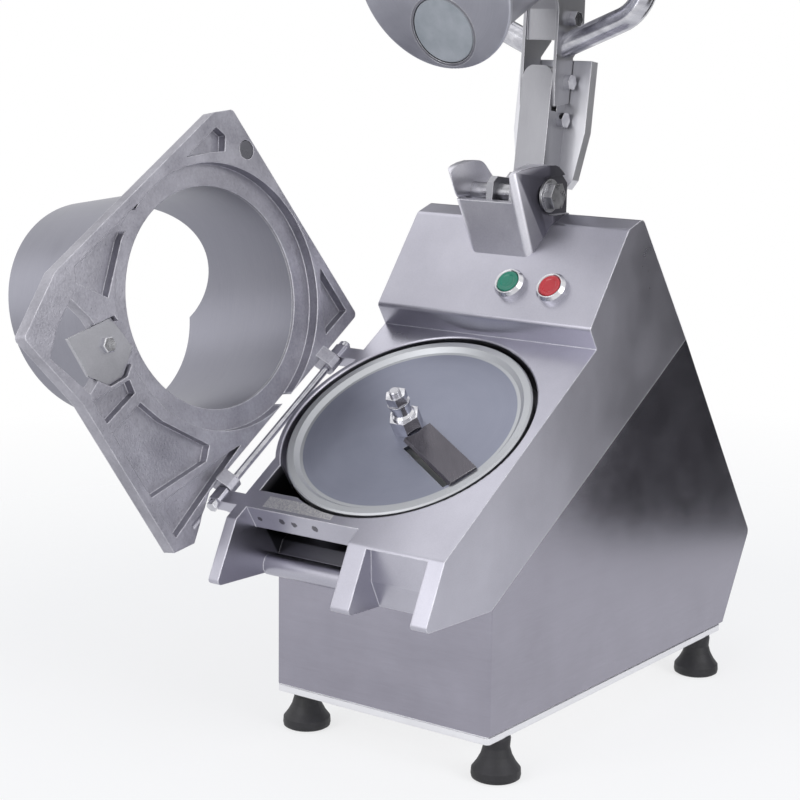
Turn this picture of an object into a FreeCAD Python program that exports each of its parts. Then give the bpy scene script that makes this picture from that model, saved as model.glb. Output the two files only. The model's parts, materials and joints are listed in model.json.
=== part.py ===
import FreeCAD, Part
import math
import os
import Sketcher

# Vegetable cutting machine.
# X runs left to right seen from the operator, Y runs from the operator to the back,
# Z is up. The origin is on the floor, under the centre of the front left foot.
# Floor frame: the same directions, from the point midway between the four feet.
# Deck frame: the sloping table with the recess for the disc. x is the same X,
# y runs up the slope, z stands square on the table, and z = 0 is the table itself.

doc = FreeCAD.newDocument("VegetableCutter")
sheet = doc.addObject("Spreadsheet::Sheet", "Dims")
flush = []


# Sizes: a number and the sheet formula that gives the same number
class Size:
    def __init__(self, value, text):
        self.value = float(value)
        self.text = text

    def __add__(self, other):
        other = size(other)
        return Size(self.value + other.value, "(%s + %s)" % (self.text, other.text))

    def __radd__(self, other):
        return size(other) + self

    def __sub__(self, other):
        other = size(other)
        return Size(self.value - other.value, "(%s - %s)" % (self.text, other.text))

    def __rsub__(self, other):
        return size(other) - self

    def __mul__(self, other):
        other = size(other)
        return Size(self.value * other.value, "%s * %s" % (self.text, other.text))

    def __rmul__(self, other):
        return size(other) * self

    def __truediv__(self, other):
        other = size(other)
        return Size(self.value / other.value, "%s / (%s)" % (self.text, other.text))

    def __neg__(self):
        return Size(-self.value, "(0 - %s)" % self.text)


def size(number):
    if isinstance(number, Size):
        return number
    if number < 0:
        return Size(number, "(0 - %s)" % repr(-number))
    return Size(number, repr(number))


def cosine(angle):
    angle = size(angle)
    return Size(math.cos(math.radians(angle.value)), "cos(%s)" % angle.text)


def sine(angle):
    angle = size(angle)
    return Size(math.sin(math.radians(angle.value)), "sin(%s)" % angle.text)


def tangent(angle):
    angle = size(angle)
    return Size(math.tan(math.radians(angle.value)), "tan(%s)" % angle.text)


row = [0]


def dimension(alias, number):
    row[0] += 1
    sheet.set("A%d" % row[0], alias)
    sheet.set("B%d" % row[0], repr(number))
    sheet.setAlias("B%d" % row[0], alias)
    return Size(number, "Dims." + alias)


# Driving sizes: body
body_width = dimension("body_width", 230.0)
half = body_width / 2.0
deck_tilt = dimension("deck_tilt", 32.3)
deck_y = dimension("deck_y", -155.9)
deck_z = dimension("deck_z", 290.5)
foot_height = dimension("foot_height", 39.0)
foot_x = dimension("foot_x", 104.0)
foot_y = dimension("foot_y", 179.6)
foot_radius = dimension("foot_radius", 21.8)
tray_height = dimension("tray_height", 7.0)
sheet_wall = dimension("sheet_wall", 2.0)
front_y = dimension("front_y", -209.0)
back_y = dimension("back_y", 211.5)
belly_y = dimension("belly_y", 260.4)
belly_z = dimension("belly_z", 131.0)
fit_gap = dimension("fit_gap", 0.3)
run_gap = dimension("run_gap", 0.08)

# Driving sizes: cast head, in the deck frame
knee_y = dimension("knee_y", -143.6)
riser_y = dimension("riser_y", 123.3)
riser_height = dimension("riser_height", 22.8)
ridge_y = dimension("ridge_y", 218.8)
ridge_z = dimension("ridge_z", 58.8)
back_ridge_y = dimension("back_ridge_y", 244.1)
back_ridge_z = dimension("back_ridge_z", 52.3)
back_low_y = dimension("back_low_y", 255.0)
back_low_z = dimension("back_low_z", -96.1)
front_low_y = dimension("front_low_y", -116.5)
front_low_z = dimension("front_low_z", -84.9)
toe_y = dimension("toe_y", -194.8)
toe_z = dimension("toe_z", -31.9)
head_wall = dimension("head_wall", 8.0)

# Driving sizes: recess, disc and drive, in the deck frame
disc_x = dimension("disc_x", -12.2)
recess_radius = dimension("recess_radius", 117.5)
recess_depth = dimension("recess_depth", 30.0)
recess_floor = dimension("recess_floor", 8.0)
recess_wall = dimension("recess_wall", 5.0)
disc_radius = dimension("disc_radius", 113.0)
disc_rim = dimension("disc_rim", 11.5)
shaft_radius = dimension("shaft_radius", 10.0)
stud_radius = dimension("stud_radius", 5.0)
blade_width = dimension("blade_width", 28.0)
drive_drop = dimension("drive_drop", 120.0)
belt_drop = dimension("belt_drop", 90.0)
belt_width = dimension("belt_width", 12.0)
belt_thickness = dimension("belt_thickness", 3.0)
big_pulley = dimension("big_pulley", 50.0)
small_pulley = dimension("small_pulley", 20.0)
motor_offset = dimension("motor_offset", 115.0)
motor_radius = dimension("motor_radius", 55.0)
motor_length = dimension("motor_length", 140.0)

# Driving sizes: hopper, in its hinge frame
hinge_x = dimension("hinge_x", -140.5)
hinge_drop = dimension("hinge_drop", 2.5)
hinge_radius = dimension("hinge_radius", 3.6)
open_angle = dimension("open_angle", 101.67)
plate_lift = dimension("plate_lift", 2.9)
plate_thickness = dimension("plate_thickness", 14.0)
hopper_back = dimension("hopper_back", 122.5)
hopper_reach = dimension("hopper_reach", 256.0)
bore_offset = dimension("bore_offset", 128.3)
mouth_radius = dimension("mouth_radius", 118.5)
tube_radius = dimension("tube_radius", 101.0)
tube_wall = dimension("tube_wall", 2.0)
tube_length = dimension("tube_length", 170.0)
notch_radius = dimension("notch_radius", 75.0)
notch_height = dimension("notch_height", 192.0)

# Driving sizes: lever
pivot_y = dimension("pivot_y", -2.0)
pivot_z = dimension("pivot_z", 481.75)
lever_travel = dimension("lever_travel", 97.2)
arm_lean = dimension("arm_lean", 8.0)
arm_width = dimension("arm_width", 32.0)
arm_front = dimension("arm_front", 28.0)
arm_back = dimension("arm_back", 57.0)
arm_length = dimension("arm_length", 120.0)
pivot_bolt_radius = dimension("pivot_bolt_radius", 8.0)
pusher_y = dimension("pusher_y", -219.4)
pusher_z = dimension("pusher_z", -37.4)
pusher_radius = dimension("pusher_radius", 77.0)
insert_offset = dimension("insert_offset", 41.0)
insert_radius = dimension("insert_radius", 30.0)
stem_radius = dimension("stem_radius", 33.0)
stem_length = dimension("stem_length", 222.0)
handle_radius = dimension("handle_radius", 11.0)
handle_spread = dimension("handle_spread", 97.0)
handle_bend = dimension("handle_bend", 36.0)
handle_rise = dimension("handle_rise", 23.0)
handle_reach = dimension("handle_reach", 350.0)
boss_radius = dimension("boss_radius", 50.5)
boss_y = dimension("boss_y", 23.5)
ear_radius = dimension("ear_radius", 28.5)
slot_width = dimension("slot_width", 50.0)
button_pitch = dimension("button_pitch", 44.2)
button_x = dimension("button_x", 19.5)
button_up = dimension("button_up", 34.0)
doc.recompute()

# Frames, as formulas that the placements are tied to
FLOOR = "placement(vector(Dims.foot_x; Dims.foot_y; 0); rotationx(0))"
DECK = FLOOR + " * placement(vector(0; Dims.deck_y; Dims.deck_z); rotationx(Dims.deck_tilt))"
PANEL_LEAN = "atan((Dims.ridge_z - Dims.riser_height) / (Dims.ridge_y - Dims.riser_y))"
PANEL = DECK + " * placement(vector(0; Dims.riser_y; Dims.riser_height); rotationx(" + PANEL_LEAN + "))"
HINGE = DECK + " * placement(vector(Dims.hinge_x; 0; 0 - Dims.hinge_drop); rotationy(0 - Dims.open_angle))"
PIVOT = FLOOR + " * placement(vector(0; Dims.pivot_y; Dims.pivot_z); rotationx(0))"
LEVER = PIVOT + " * placement(vector(0; 0; 0); rotationx(Dims.deck_tilt - Dims.lever_travel))"
ARM = PIVOT + " * placement(vector(0; 0; 0); rotationx(0 - Dims.arm_lean))"


def moved(frame, x, y, z, turn="rotationx(0)"):
    spot = "vector(%s; %s; %s)" % (size(x).text, size(y).text, size(z).text)
    return frame + " * placement(" + spot + "; " + turn + ")"


# Bodies, sketches and the features made from them
def new_body(name, frame):
    body = doc.addObject("PartDesign::Body", name)
    body.Label = name
    body.AllowCompound = True
    body.setExpression("Placement", frame)
    return body


def new_sketch(body, name, plane, offset=None):
    sketch = body.newObject("Sketcher::SketchObject", name)
    flat = [f for f in body.Origin.OriginFeatures if f.Role == plane + "_Plane"][0]
    sketch.AttachmentSupport = [(flat, "")]
    sketch.MapMode = "FlatFace"
    if offset is not None:
        offset = size(offset)
        sketch.AttachmentOffset = FreeCAD.Placement(FreeCAD.Vector(0, 0, offset.value), FreeCAD.Rotation())
        sketch.setExpression("AttachmentOffset.Base.z", offset.text)
    return sketch


def pin_point(sketch, line, end, point):
    for kind, part in (("DistanceX", point[0]), ("DistanceY", point[1])):
        part = size(part)
        index = sketch.addConstraint(Sketcher.Constraint(kind, -1, 1, line, end, part.value))
        sketch.setExpression("Constraints[%d]" % index, part.text)


def flat_vector(point):
    return FreeCAD.Vector(size(point[0]).value, size(point[1]).value, 0)


# A closed outline: corners joined by straight lines
def outline(sketch, points):
    first = sketch.GeometryCount
    count = len(points)
    for i in range(count):
        line = Part.LineSegment(flat_vector(points[i]), flat_vector(points[(i + 1) % count]))
        sketch.addGeometry(line, False)
    for i in range(count):
        sketch.addConstraint(Sketcher.Constraint("Coincident", first + i, 2, first + (i + 1) % count, 1))
    for i in range(count):
        pin_point(sketch, first + i, 1, points[i])


def ring(sketch, centre, radius):
    radius = size(radius)
    circle = Part.Circle(flat_vector(centre), FreeCAD.Vector(0, 0, 1), radius.value)
    index = sketch.addGeometry(circle, False)
    pin_point(sketch, index, 3, centre)
    rule = sketch.addConstraint(Sketcher.Constraint("Radius", index, radius.value))
    sketch.setExpression("Constraints[%d]" % rule, radius.text)


def draw(sketch, shapes):
    for shape in shapes:
        if shape[0] == "ring":
            ring(sketch, shape[1], shape[2])
        else:
            outline(sketch, shape[1])


def rectangle(x0, x1, y0, y1):
    return ("outline", [(x0, y0), (x1, y0), (x1, y1), (x0, y1)])


def hexagon(centre, flats):
    flats = size(flats)
    points = []
    for i in range(6):
        reach = flats / 2.0 / cosine(30)
        points.append((size(centre[0]) + reach * cosine(60 * i), size(centre[1]) + reach * sine(60 * i)))
    return ("outline", points)


# Material between two levels along the axis square to the plane. The front plane
# faces the operator, so its levels are turned round to read along +Y.
def levels(plane, low, high):
    low = size(low)
    high = size(high)
    if plane == "XZ":
        return -high, -low
    return low, high


def extrude(kind, body, name, plane, shapes, low, high):
    low, high = levels(plane, low, high)
    base = body.Tip
    before = body.Shape.Volume if base else 0.0
    sketch = new_sketch(body, name + "_sketch", plane, low)
    draw(sketch, shapes)
    feature = body.newObject("PartDesign::" + kind, name)
    feature.Profile = sketch
    if kind == "Pocket":
        feature.Reversed = True
    feature.setExpression("Length", (high - low).text)
    body.Tip = feature
    doc.recompute()
    after = body.Shape.Volume
    if kind == "Pocket" and not after < before - 0.001:
        flush.append("%s %s cut nothing" % (body.Name, name))
    if kind == "Pad" and not after > before + 0.001:
        flush.append("%s %s added nothing" % (body.Name, name))
    return feature


def pad(body, name, plane, shapes, low, high):
    return extrude("Pad", body, name, plane, shapes, low, high)


def pocket(body, name, plane, shapes, low, high):
    return extrude("Pocket", body, name, plane, shapes, low, high)


# A turned shape about the sketch's upright axis through the body origin
def turned(body, name, points, cut=False):
    sketch = new_sketch(body, name + "_sketch", "XZ")
    outline(sketch, points)
    kind = "PartDesign::Groove" if cut else "PartDesign::Revolution"
    feature = body.newObject(kind, name)
    feature.Profile = sketch
    feature.ReferenceAxis = (sketch, ["V_Axis"])
    feature.Angle = 360
    body.Tip = feature
    doc.recompute()
    return feature


# Rounded and bevelled edges, picked by where they lie
def edge_names(shape, wanted):
    return ["Edge%d" % (i + 1) for i, edge in enumerate(shape.Edges) if wanted(edge)]


def dress(kind, body, name, amount, wanted):
    base = body.Tip
    names = edge_names(base.Shape, wanted)
    if not names:
        flush.append("%s %s found no edge" % (body.Name, name))
        return base
    feature = body.newObject("PartDesign::" + kind, name)
    feature.Base = (base, names)
    amount = size(amount)
    feature.setExpression("Radius" if kind == "Fillet" else "Size", amount.text)
    body.Tip = feature
    doc.recompute()
    return feature


def rounded(body, name, amount, wanted):
    return dress("Fillet", body, name, amount, wanted)


def bevelled(body, name, amount, wanted):
    return dress("Chamfer", body, name, amount, wanted)


def near(a, b, slack=0.05):
    return abs(size(a).value - size(b).value) < slack


def along(edge, axis):
    if edge.Curve.TypeId != "Part::GeomLine":
        return False
    direction = edge.Vertexes[1].Point - edge.Vertexes[0].Point
    return abs(abs(direction[axis]) - direction.Length) < 0.001


def at(edge, spot):
    middle = edge.CenterOfMass
    for axis, where in spot:
        if not near(middle[axis], where):
            return False
    return True


def circle_of(radius):
    def wanted(edge):
        return edge.Curve.TypeId == "Part::GeomCircle" and near(edge.Curve.Radius, radius)
    return wanted


# Plain primitives, tied to the sheet the same way
def cylinder(name, frame, radius, height):
    item = doc.addObject("Part::Cylinder", name)
    item.setExpression("Radius", size(radius).text)
    item.setExpression("Height", size(height).text)
    item.setExpression("Placement", frame)
    return item


def prism(name, frame, flats, height):
    item = doc.addObject("Part::Prism", name)
    item.Polygon = 6
    item.setExpression("Circumradius", (size(flats) / 2.0 / cosine(30)).text)
    item.setExpression("Height", size(height).text)
    item.setExpression("Placement", frame)
    return item


def fused(name, items):
    item = doc.addObject("Part::MultiFuse", name)
    item.Shapes = items
    return item


def cut(name, base, tool):
    item = doc.addObject("Part::Cut", name)
    item.Base = base
    item.Tool = tool
    return item


def gathered(name, items):
    item = doc.addObject("Part::Compound", name)
    item.Links = items
    item.Label = name
    return item


nodes = []


def keep(item):
    doc.recompute()
    nodes.append(item)
    return item


# A point of the deck frame written in the floor frame, as (y, z)
def on_floor(y, z):
    y = size(y)
    z = size(z)
    return (deck_y + y * cosine(deck_tilt) - z * sine(deck_tilt),
            deck_z + y * sine(deck_tilt) + z * cosine(deck_tilt))


# Lower casing: folded sheet, open at the top under the cast head and at the bottom
casing_low = foot_height + tray_height
front_top = on_floor(front_low_y, front_low_z)
back_top = on_floor(back_low_y, back_low_z)
back_slope = (belly_y - back_y) / (belly_z - casing_low)
casing = new_body("lower_casing", FLOOR)
pad(casing, "casing_block", "YZ", [("outline", [
    (front_y, casing_low), front_top, back_top, (belly_y, belly_z), (back_y, casing_low)])], -half, half)
rounded(casing, "casing_back_folds", 8.0,
        lambda e: along(e, 0) and (at(e, [(1, belly_y), (2, belly_z)])))
rounded(casing, "casing_front_folds", 3.0,
        lambda e: along(e, 2) and near(e.CenterOfMass.y, front_y))
inner_x = half - sheet_wall
skin = sheet_wall * 1.2
pocket(casing, "casing_hollow", "YZ", [("outline", [
    (front_y + sheet_wall, casing_low - 5), (front_y + sheet_wall, front_top[1] + 60),
    (back_top[0] - skin - (belly_y - back_top[0]) * 0.2, back_top[1] + (back_top[1] - belly_z) * 0.2),
    (belly_y - skin, belly_z), (back_y - skin - back_slope * 5, casing_low - 5)])], -inner_x, inner_x)
rounded(casing, "casing_inner_fold", 6.0,
        lambda e: along(e, 0) and at(e, [(1, belly_y - skin), (2, belly_z)]))
gland_radius = dimension("gland_radius", 8.0)
gland_x = dimension("gland_x", -60.0)
gland_up = dimension("gland_up", 40.0)
doc.recompute()
gland_y = back_y + gland_up * back_slope
gland_z = casing_low + gland_up
gland_turn = "rotationx(0 deg - 90 deg - atan((Dims.belly_y - Dims.back_y) / (Dims.belly_z - Dims.foot_height - Dims.tray_height)))"
gland_frame = moved(FLOOR, gland_x, gland_y, gland_z, gland_turn)
gland_hole = cylinder("gland_hole", moved(gland_frame, 0, 0, -15), gland_radius + run_gap, 30)
casing_done = cut("lower_casing_drilled", casing, gland_hole)
casing.Label = "casing_sheet"
casing_done.Label = "lower_casing"
keep(casing_done)

# Base tray: shallow pan with a shoulder that carries the casing
tray = new_body("base_tray", FLOOR)
tray_back = back_y - back_slope * tray_height
seam = 1.5
pad(tray, "tray_pan", "XY", [rectangle(-half, half, front_y, tray_back)], foot_height, casing_low - 1.2)
rounded(tray, "tray_corners", 4.0, lambda e: along(e, 2))
pad(tray, "tray_shoulder", "XY", [rectangle(-half + seam, half - seam, front_y + seam, tray_back - seam)],
    foot_height + 1, casing_low)
lip_x = inner_x - fit_gap
pad(tray, "tray_upstand", "XY", [rectangle(
    -lip_x, lip_x, front_y + sheet_wall + fit_gap, back_y - skin - 0.5)], foot_height + 1, casing_low + 10)
lip_in = 2.5
pocket(tray, "tray_hollow", "XY", [rectangle(
    -lip_x + lip_in, lip_x - lip_in, front_y + sheet_wall + fit_gap + lip_in, back_y - skin - 0.5 - lip_in)],
    foot_height + 2.5, casing_low + 20)
stud_size = dimension("stud_size", 4.0)
doc.recompute()
corners = [(-foot_x, -foot_y), (foot_x, -foot_y), (foot_x, foot_y), (-foot_x, foot_y)]
pocket(tray, "tray_stud_holes", "XY", [("ring", c, stud_size + run_gap) for c in corners],
       foot_height - 5, foot_height + 5)
keep(tray)

# Feet: flared rubber on a threaded stud with a nut inside the tray
feet = []
studs = []
for i, corner in enumerate(corners):
    spot = moved(FLOOR, corner[0], corner[1], 0)
    foot = new_body("foot_%d" % i, spot)
    turned(foot, "foot_turned_%d" % i, [
        (0, 0), (foot_radius - 2.5, 0), (foot_radius - 0.6, 1.2), (foot_radius, 4), (foot_radius - 0.4, 9),
        (foot_radius - 4.5, 14.5), (foot_radius - 8, 21), (foot_radius - 10, 28),
        (foot_radius - 9.4, foot_height - 3), (foot_radius - 10, foot_height), (0, foot_height)])
    pocket(foot, "foot_bore_%d" % i, "XY", [("ring", (0, 0), stud_size + run_gap)], foot_height - 18, foot_height + 1)
    feet.append(foot)
    shank = cylinder("stud_shank_%d" % i, moved(spot, 0, 0, foot_height - 18), stud_size, 28)
    nut = prism("stud_nut_%d" % i, moved(spot, 0, 0, foot_height + 2.5), 10.0, 5.5)
    studs.append(fused("foot_stud_%d" % i, [shank, nut]))
keep(gathered("rubber_feet", feet))
keep(gathered("foot_studs", studs))

# Cast head: wedge-shaped casting that carries the recess, the panel and the outlet
head = new_body("cast_head", DECK)
head_outline = [
    (knee_y, 0), (riser_y, 0), (riser_y, riser_height), (ridge_y, ridge_z), (back_ridge_y, back_ridge_z),
    (back_low_y, back_low_z), (front_low_y, front_low_z), (toe_y, toe_z)]
pad(head, "head_block", "YZ", [("outline", head_outline)], -half, half)
rounded(head, "ridge_round", 7.0, lambda e: along(e, 0) and (
    at(e, [(1, ridge_y), (2, ridge_z)]) or at(e, [(1, back_ridge_y), (2, back_ridge_z)])))
rounded(head, "toe_round", 4.0, lambda e: along(e, 0) and (
    at(e, [(1, toe_y), (2, toe_z)]) or at(e, [(1, knee_y), (2, 0)]) or at(e, [(1, riser_y), (2, riser_height)])))
bulge_radius = recess_radius + recess_wall
bulge_low = -recess_depth - recess_floor
pad(head, "recess_bulge", "XY", [("ring", (disc_x, 0), bulge_radius)], bulge_low, 0)
under = 20.0
cavity_y = -28.9
pocket(head, "head_cavity", "YZ", [("outline", [
    (cavity_y, bulge_low), (riser_y + 7.5, bulge_low), (riser_y + 9.5, riser_height - 6),
    (ridge_y + 1, ridge_z - 10.5), (back_ridge_y - 9.5, back_ridge_z - 7),
    (back_low_y - 8, back_low_z - under), (cavity_y - 52, back_low_z - under)])],
    -half + head_wall, half - head_wall)
pocket(head, "recess", "XY", [("ring", (disc_x, 0), recess_radius)], -recess_depth, 10)
rounded(head, "recess_lip", 1.5, lambda e: circle_of(recess_radius)(e) and near(e.CenterOfMass.z, 0))

# Front of the head: left discharge bay, middle rib, closed right bay
rib_left = dimension("rib_left", 18.0)
rib_right = dimension("rib_right", 37.0)
side_left = dimension("side_left", 11.0)
side_right = dimension("side_right", 16.0)
doc.recompute()
bay_front = -214.0
pocket(head, "left_bay", "YZ", [("outline", [
    (bay_front, 12), (-128.0, 12), (-128.0, -24), (-110, -45), (-121, -62), (-139, -86), (-150, -100), (bay_front, -100)])],
    -half + side_left, rib_left)
pocket(head, "right_bay", "YZ", [("outline", [
    (bay_front, -8), (-158, -8), (-147.5, 0.0), (-141, -6), (-155, -30), (-160, -75), (-150, -100), (bay_front, -100)])],
    rib_right, half - side_right)
pocket(head, "outlet", "YZ", [("outline", [
    (-107, -24), (-60, -24), (-60, -30), (-96, -52), (-150, -86), (-150, -45), (-110, -45)])],
    -half + side_left, rib_left)
# Corner pocket beside the recess, down into the outlet
pocket(head, "corner_pocket", "XY", [("outline", [
    (-104, -107), (-32, -107), (-32, -80), (-104, -40)])], -60, 10)
# Round lip under the outlet
pad(head, "outlet_lip", "YZ", [("ring", (-131.5, -66.0), 10.0)], -half + side_left - 1, rib_left + 1)
# Hinge lugs, bored for the rod
lug_length = dimension("lug_length", 14.0)
front_lug = dimension("front_lug", -128.0)
rear_lug = dimension("rear_lug", 70.0)
lug_radius = dimension("lug_radius", 9.0)
doc.recompute()
for name, start in (("front_lug", front_lug), ("rear_lug", rear_lug)):
    pad(head, name, "XZ", [("outline", [
        (hinge_x - 2, -hinge_drop - lug_radius), (hinge_x + 8, -hinge_drop - lug_radius), (-half + 2, -18),
        (-half + 2, 0), (hinge_x + 6, 0), (hinge_x + 5, -hinge_drop + lug_radius - 4),
        (hinge_x - 5, -hinge_drop + lug_radius - 4), (hinge_x - 9, -hinge_drop)])], start, start + lug_length)
pocket(head, "hinge_bores", "XZ", [("ring", (hinge_x, -hinge_drop), hinge_radius + run_gap)], -160, 110)
pocket(head, "shaft_hole", "XY", [("ring", (disc_x, 0), 20.0)], -60, 0)
panel_hole = dimension("panel_hole", 11.0)
doc.recompute()
hole_tools = []
for name, x in (("green_hole", button_x), ("red_hole", button_x + button_pitch)):
    hole_tools.append(cylinder(name, moved(PANEL, x, button_up, -20), panel_hole + run_gap, 40))
head_drilled = cut("cast_head_drilled", head, fused("panel_holes", hole_tools))
head.Label = "head_casting"
head_drilled.Label = "cast_head"
keep(head_drilled)

# Saddle bracket: round boss standing on the ridge, slotted for the lever
saddle = new_body("saddle_bracket", FLOOR)
ridge = on_floor(ridge_y, ridge_z)
back_ridge = on_floor(back_ridge_y, back_ridge_z)
panel_foot = on_floor(riser_y, riser_height)
slot_floor = dimension("slot_floor", 465.0)
web_top = dimension("web_top", 476.5)
ear_outside = dimension("ear_outside", 42.0)
doc.recompute()
pad(saddle, "boss", "XY", [("ring", (disc_x, boss_y), boss_radius)], pivot_z - 70, pivot_z + ear_radius)
pocket(saddle, "boss_back", "YZ", [rectangle(pivot_y + 30, pivot_y + 120, pivot_z - 100, pivot_z + 60)],
       -half, half)
pocket(saddle, "boss_seat", "YZ", [("outline", [
    (panel_foot[0] - 20, panel_foot[1] - 80), (panel_foot[0], panel_foot[1]), ridge, back_ridge, back_top,
    (back_top[0], back_top[1] - 80)])], -half, half)
pocket(saddle, "lever_slot", "YZ", [("outline", [
    (pivot_y - 60, web_top), (pivot_y - 18, web_top), (pivot_y - 15, slot_floor), (pivot_y + 60, slot_floor),
    (pivot_y + 60, pivot_z + 60), (pivot_y - 60, pivot_z + 60)])],
    disc_x - slot_width / 2, disc_x + slot_width / 2)
ear_sketch = new_sketch(saddle, "ear_top_sketch", "YZ", -half)


# Outline of the waste above the round ears: three straight sides and one arc
def ear_waste(sketch):
    left = (pivot_y - ear_radius, pivot_z)
    right = (pivot_y + ear_radius, pivot_z)
    points = [right, (pivot_y + 90, pivot_z), (pivot_y + 90, pivot_z + 70), (pivot_y - 90, pivot_z + 70),
              (pivot_y - 90, pivot_z), left]
    for i in range(5):
        sketch.addGeometry(Part.LineSegment(flat_vector(points[i]), flat_vector(points[i + 1])), False)
    circle = Part.Circle(flat_vector((pivot_y, pivot_z)), FreeCAD.Vector(0, 0, 1), ear_radius.value)
    arc = sketch.addGeometry(Part.ArcOfCircle(circle, 0, math.pi), False)
    for i in range(4):
        sketch.addConstraint(Sketcher.Constraint("Coincident", i, 2, i + 1, 1))
    for i in range(5):
        pin_point(sketch, i, 1, points[i])
    pin_point(sketch, 4, 2, left)
    sketch.addConstraint(Sketcher.Constraint("Coincident", arc, 1, 0, 1))
    sketch.addConstraint(Sketcher.Constraint("Coincident", arc, 2, 4, 2))
    rule = sketch.addConstraint(Sketcher.Constraint("DistanceY", -1, 1, arc, 3, pivot_z.value))
    sketch.setExpression("Constraints[%d]" % rule, pivot_z.text)


ear_waste(ear_sketch)
ear_top = saddle.newObject("PartDesign::Pocket", "ear_top")
ear_top.Profile = ear_sketch
ear_top.Reversed = True
ear_top.setExpression("Length", body_width.text)
saddle.Tip = ear_top
doc.recompute()
for name, low, high in (("left_spot_face", disc_x - 80, disc_x - ear_outside),
                        ("right_spot_face", disc_x + ear_outside, disc_x + 80)):
    pocket(saddle, name, "YZ", [("ring", (pivot_y + 4, pivot_z - 4), 36.0)], low, high)
pocket(saddle, "pivot_bore", "YZ", [("ring", (pivot_y, pivot_z), pivot_bolt_radius + run_gap)],
       disc_x - 80, disc_x + 80)
rounded(saddle, "slot_edges", 2.0, lambda e: along(e, 0) and near(e.CenterOfMass.z, web_top))
keep(saddle)

# Pivot bolt through both ears, with a thin washer each side of the lever
bolt = new_body("pivot_bolt", moved(FLOOR, disc_x, pivot_y, pivot_z))
pad(bolt, "bolt_shank", "YZ", [("ring", (0, 0), pivot_bolt_radius)], -ear_outside - 12, ear_outside + 1)
pad(bolt, "bolt_head", "YZ", [hexagon((0, 0), 22.0)], ear_outside + 2.5, ear_outside + 11)
pad(bolt, "bolt_washer", "YZ", [("ring", (0, 0), 15.0)], ear_outside, ear_outside + 2.5)
pad(bolt, "bolt_nut", "YZ", [hexagon((0, 0), 22.0)], -ear_outside - 9, -ear_outside)
bevelled(bolt, "bolt_end", 1.2, lambda e: circle_of(pivot_bolt_radius)(e) and near(e.CenterOfMass.x, -ear_outside - 12))
keep(bolt)

# Hinge rod with a collar at each end
rod = new_body("hinge_rod", moved(DECK, hinge_x, 0, -hinge_drop))
rod_low = front_lug - 7
rod_high = rear_lug + lug_length + 7
pad(rod, "rod_bar", "XZ", [("ring", (0, 0), hinge_radius)], rod_low, rod_high)
pad(rod, "rod_low_head", "XZ", [hexagon((0, 0), 9.0)], rod_low, front_lug)
pad(rod, "rod_high_head", "XZ", [("ring", (0, 0), 6.0)], rear_lug + lug_length, rod_high - 3)
keep(rod)

# Push buttons: bezel on the panel, switch body behind it, cap that slides in the bezel
bezels = []
switches = []
cap_radius = dimension("cap_radius", 10.2)
cap_travel = dimension("cap_travel", 2.5)
bezel_radius = dimension("bezel_radius", 14.5)
bezel_height = dimension("bezel_height", 9.0)
doc.recompute()
for name, x in (("green", button_x), ("red", button_x + button_pitch)):
    spot = moved(PANEL, x, button_up, 0)
    bezel = new_body(name + "_bezel", spot)
    turned(bezel, name + "_bezel_turned", [
        (cap_radius + 0.2, 0), (bezel_radius, 0), (bezel_radius, bezel_height - 3.5),
        (bezel_radius - 2.2, bezel_height), (cap_radius + 1.2, bezel_height), (cap_radius + 0.2, bezel_height - 1)])
    bezels.append(bezel)
    switch = new_body(name + "_switch", spot)
    turned(switch, name + "_switch_turned", [
        (0, -42), (panel_hole - 1, -42), (panel_hole, -40), (panel_hole, -0.3), (cap_radius - 3, -0.3),
        (cap_radius - 3, 0.4), (0, 0.4)])
    pad(switch, name + "_contact_block", "XY", [rectangle(-13, 13, -15, 15)], -62, -42)
    switches.append(switch)
keep(gathered("button_bezels", bezels))
keep(gathered("switch_bodies", switches))
for name, x in (("green", button_x), ("red", button_x + button_pitch)):
    cap = new_body(name + "_button", moved(PANEL, x, button_up, 0))
    turned(cap, name + "_cap_turned", [
        (0, cap_travel + 0.6), (cap_radius, cap_travel + 0.6), (cap_radius, bezel_height - 0.6),
        (cap_radius - 0.8, bezel_height + 0.2), (cap_radius - 3.4, bezel_height), (cap_radius - 4.2, bezel_height - 0.4),
        (0, bezel_height - 0.4)])
    keep(cap)

# Drive plate hung under the recess on four pillars
plate = new_body("drive_plate", DECK)
plate_y0 = dimension("plate_y0", -30.0)
plate_y1 = dimension("plate_y1", 172.0)
plate_reach = dimension("plate_reach", 85.0)
plate_gauge = dimension("plate_gauge", 6.0)
pillar_radius = dimension("pillar_radius", 7.0)
motor_shaft_radius = dimension("motor_shaft_radius", 9.5)
doc.recompute()
pad(plate, "plate_flat", "XY", [rectangle(disc_x - plate_reach, disc_x + plate_reach, plate_y0, plate_y1)],
    -drive_drop - plate_gauge, -drive_drop)
rounded(plate, "plate_corners", 10.0, lambda e: along(e, 2))
pocket(plate, "plate_holes", "XY", [
    ("ring", (disc_x, 0), 20.0), ("ring", (disc_x, motor_offset), motor_shaft_radius + 8)], -200, 0)
keep(plate)
pillars = []
for i, spot in enumerate([(-74, -15), (74, -15), (-74, 120), (74, 120)]):
    pillars.append(cylinder("pillar_%d" % i, moved(DECK, disc_x + spot[0], spot[1], -drive_drop),
                            pillar_radius, drive_drop + bulge_low))
keep(gathered("plate_pillars", pillars))
bearings = []
for name, low, high in (("upper_bearing", bulge_low - 6, bulge_low + 8), ("lower_bearing", -drive_drop - 10, -drive_drop)):
    bearing = new_body(name, moved(DECK, disc_x, 0, 0))
    turned(bearing, name + "_turned", [
        (shaft_radius + run_gap, low), (20.0 - 0.02, low), (20.0 - 0.02, high), (shaft_radius + run_gap, high)])
    bearings.append(bearing)
keep(gathered("shaft_bearings", bearings))

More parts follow.
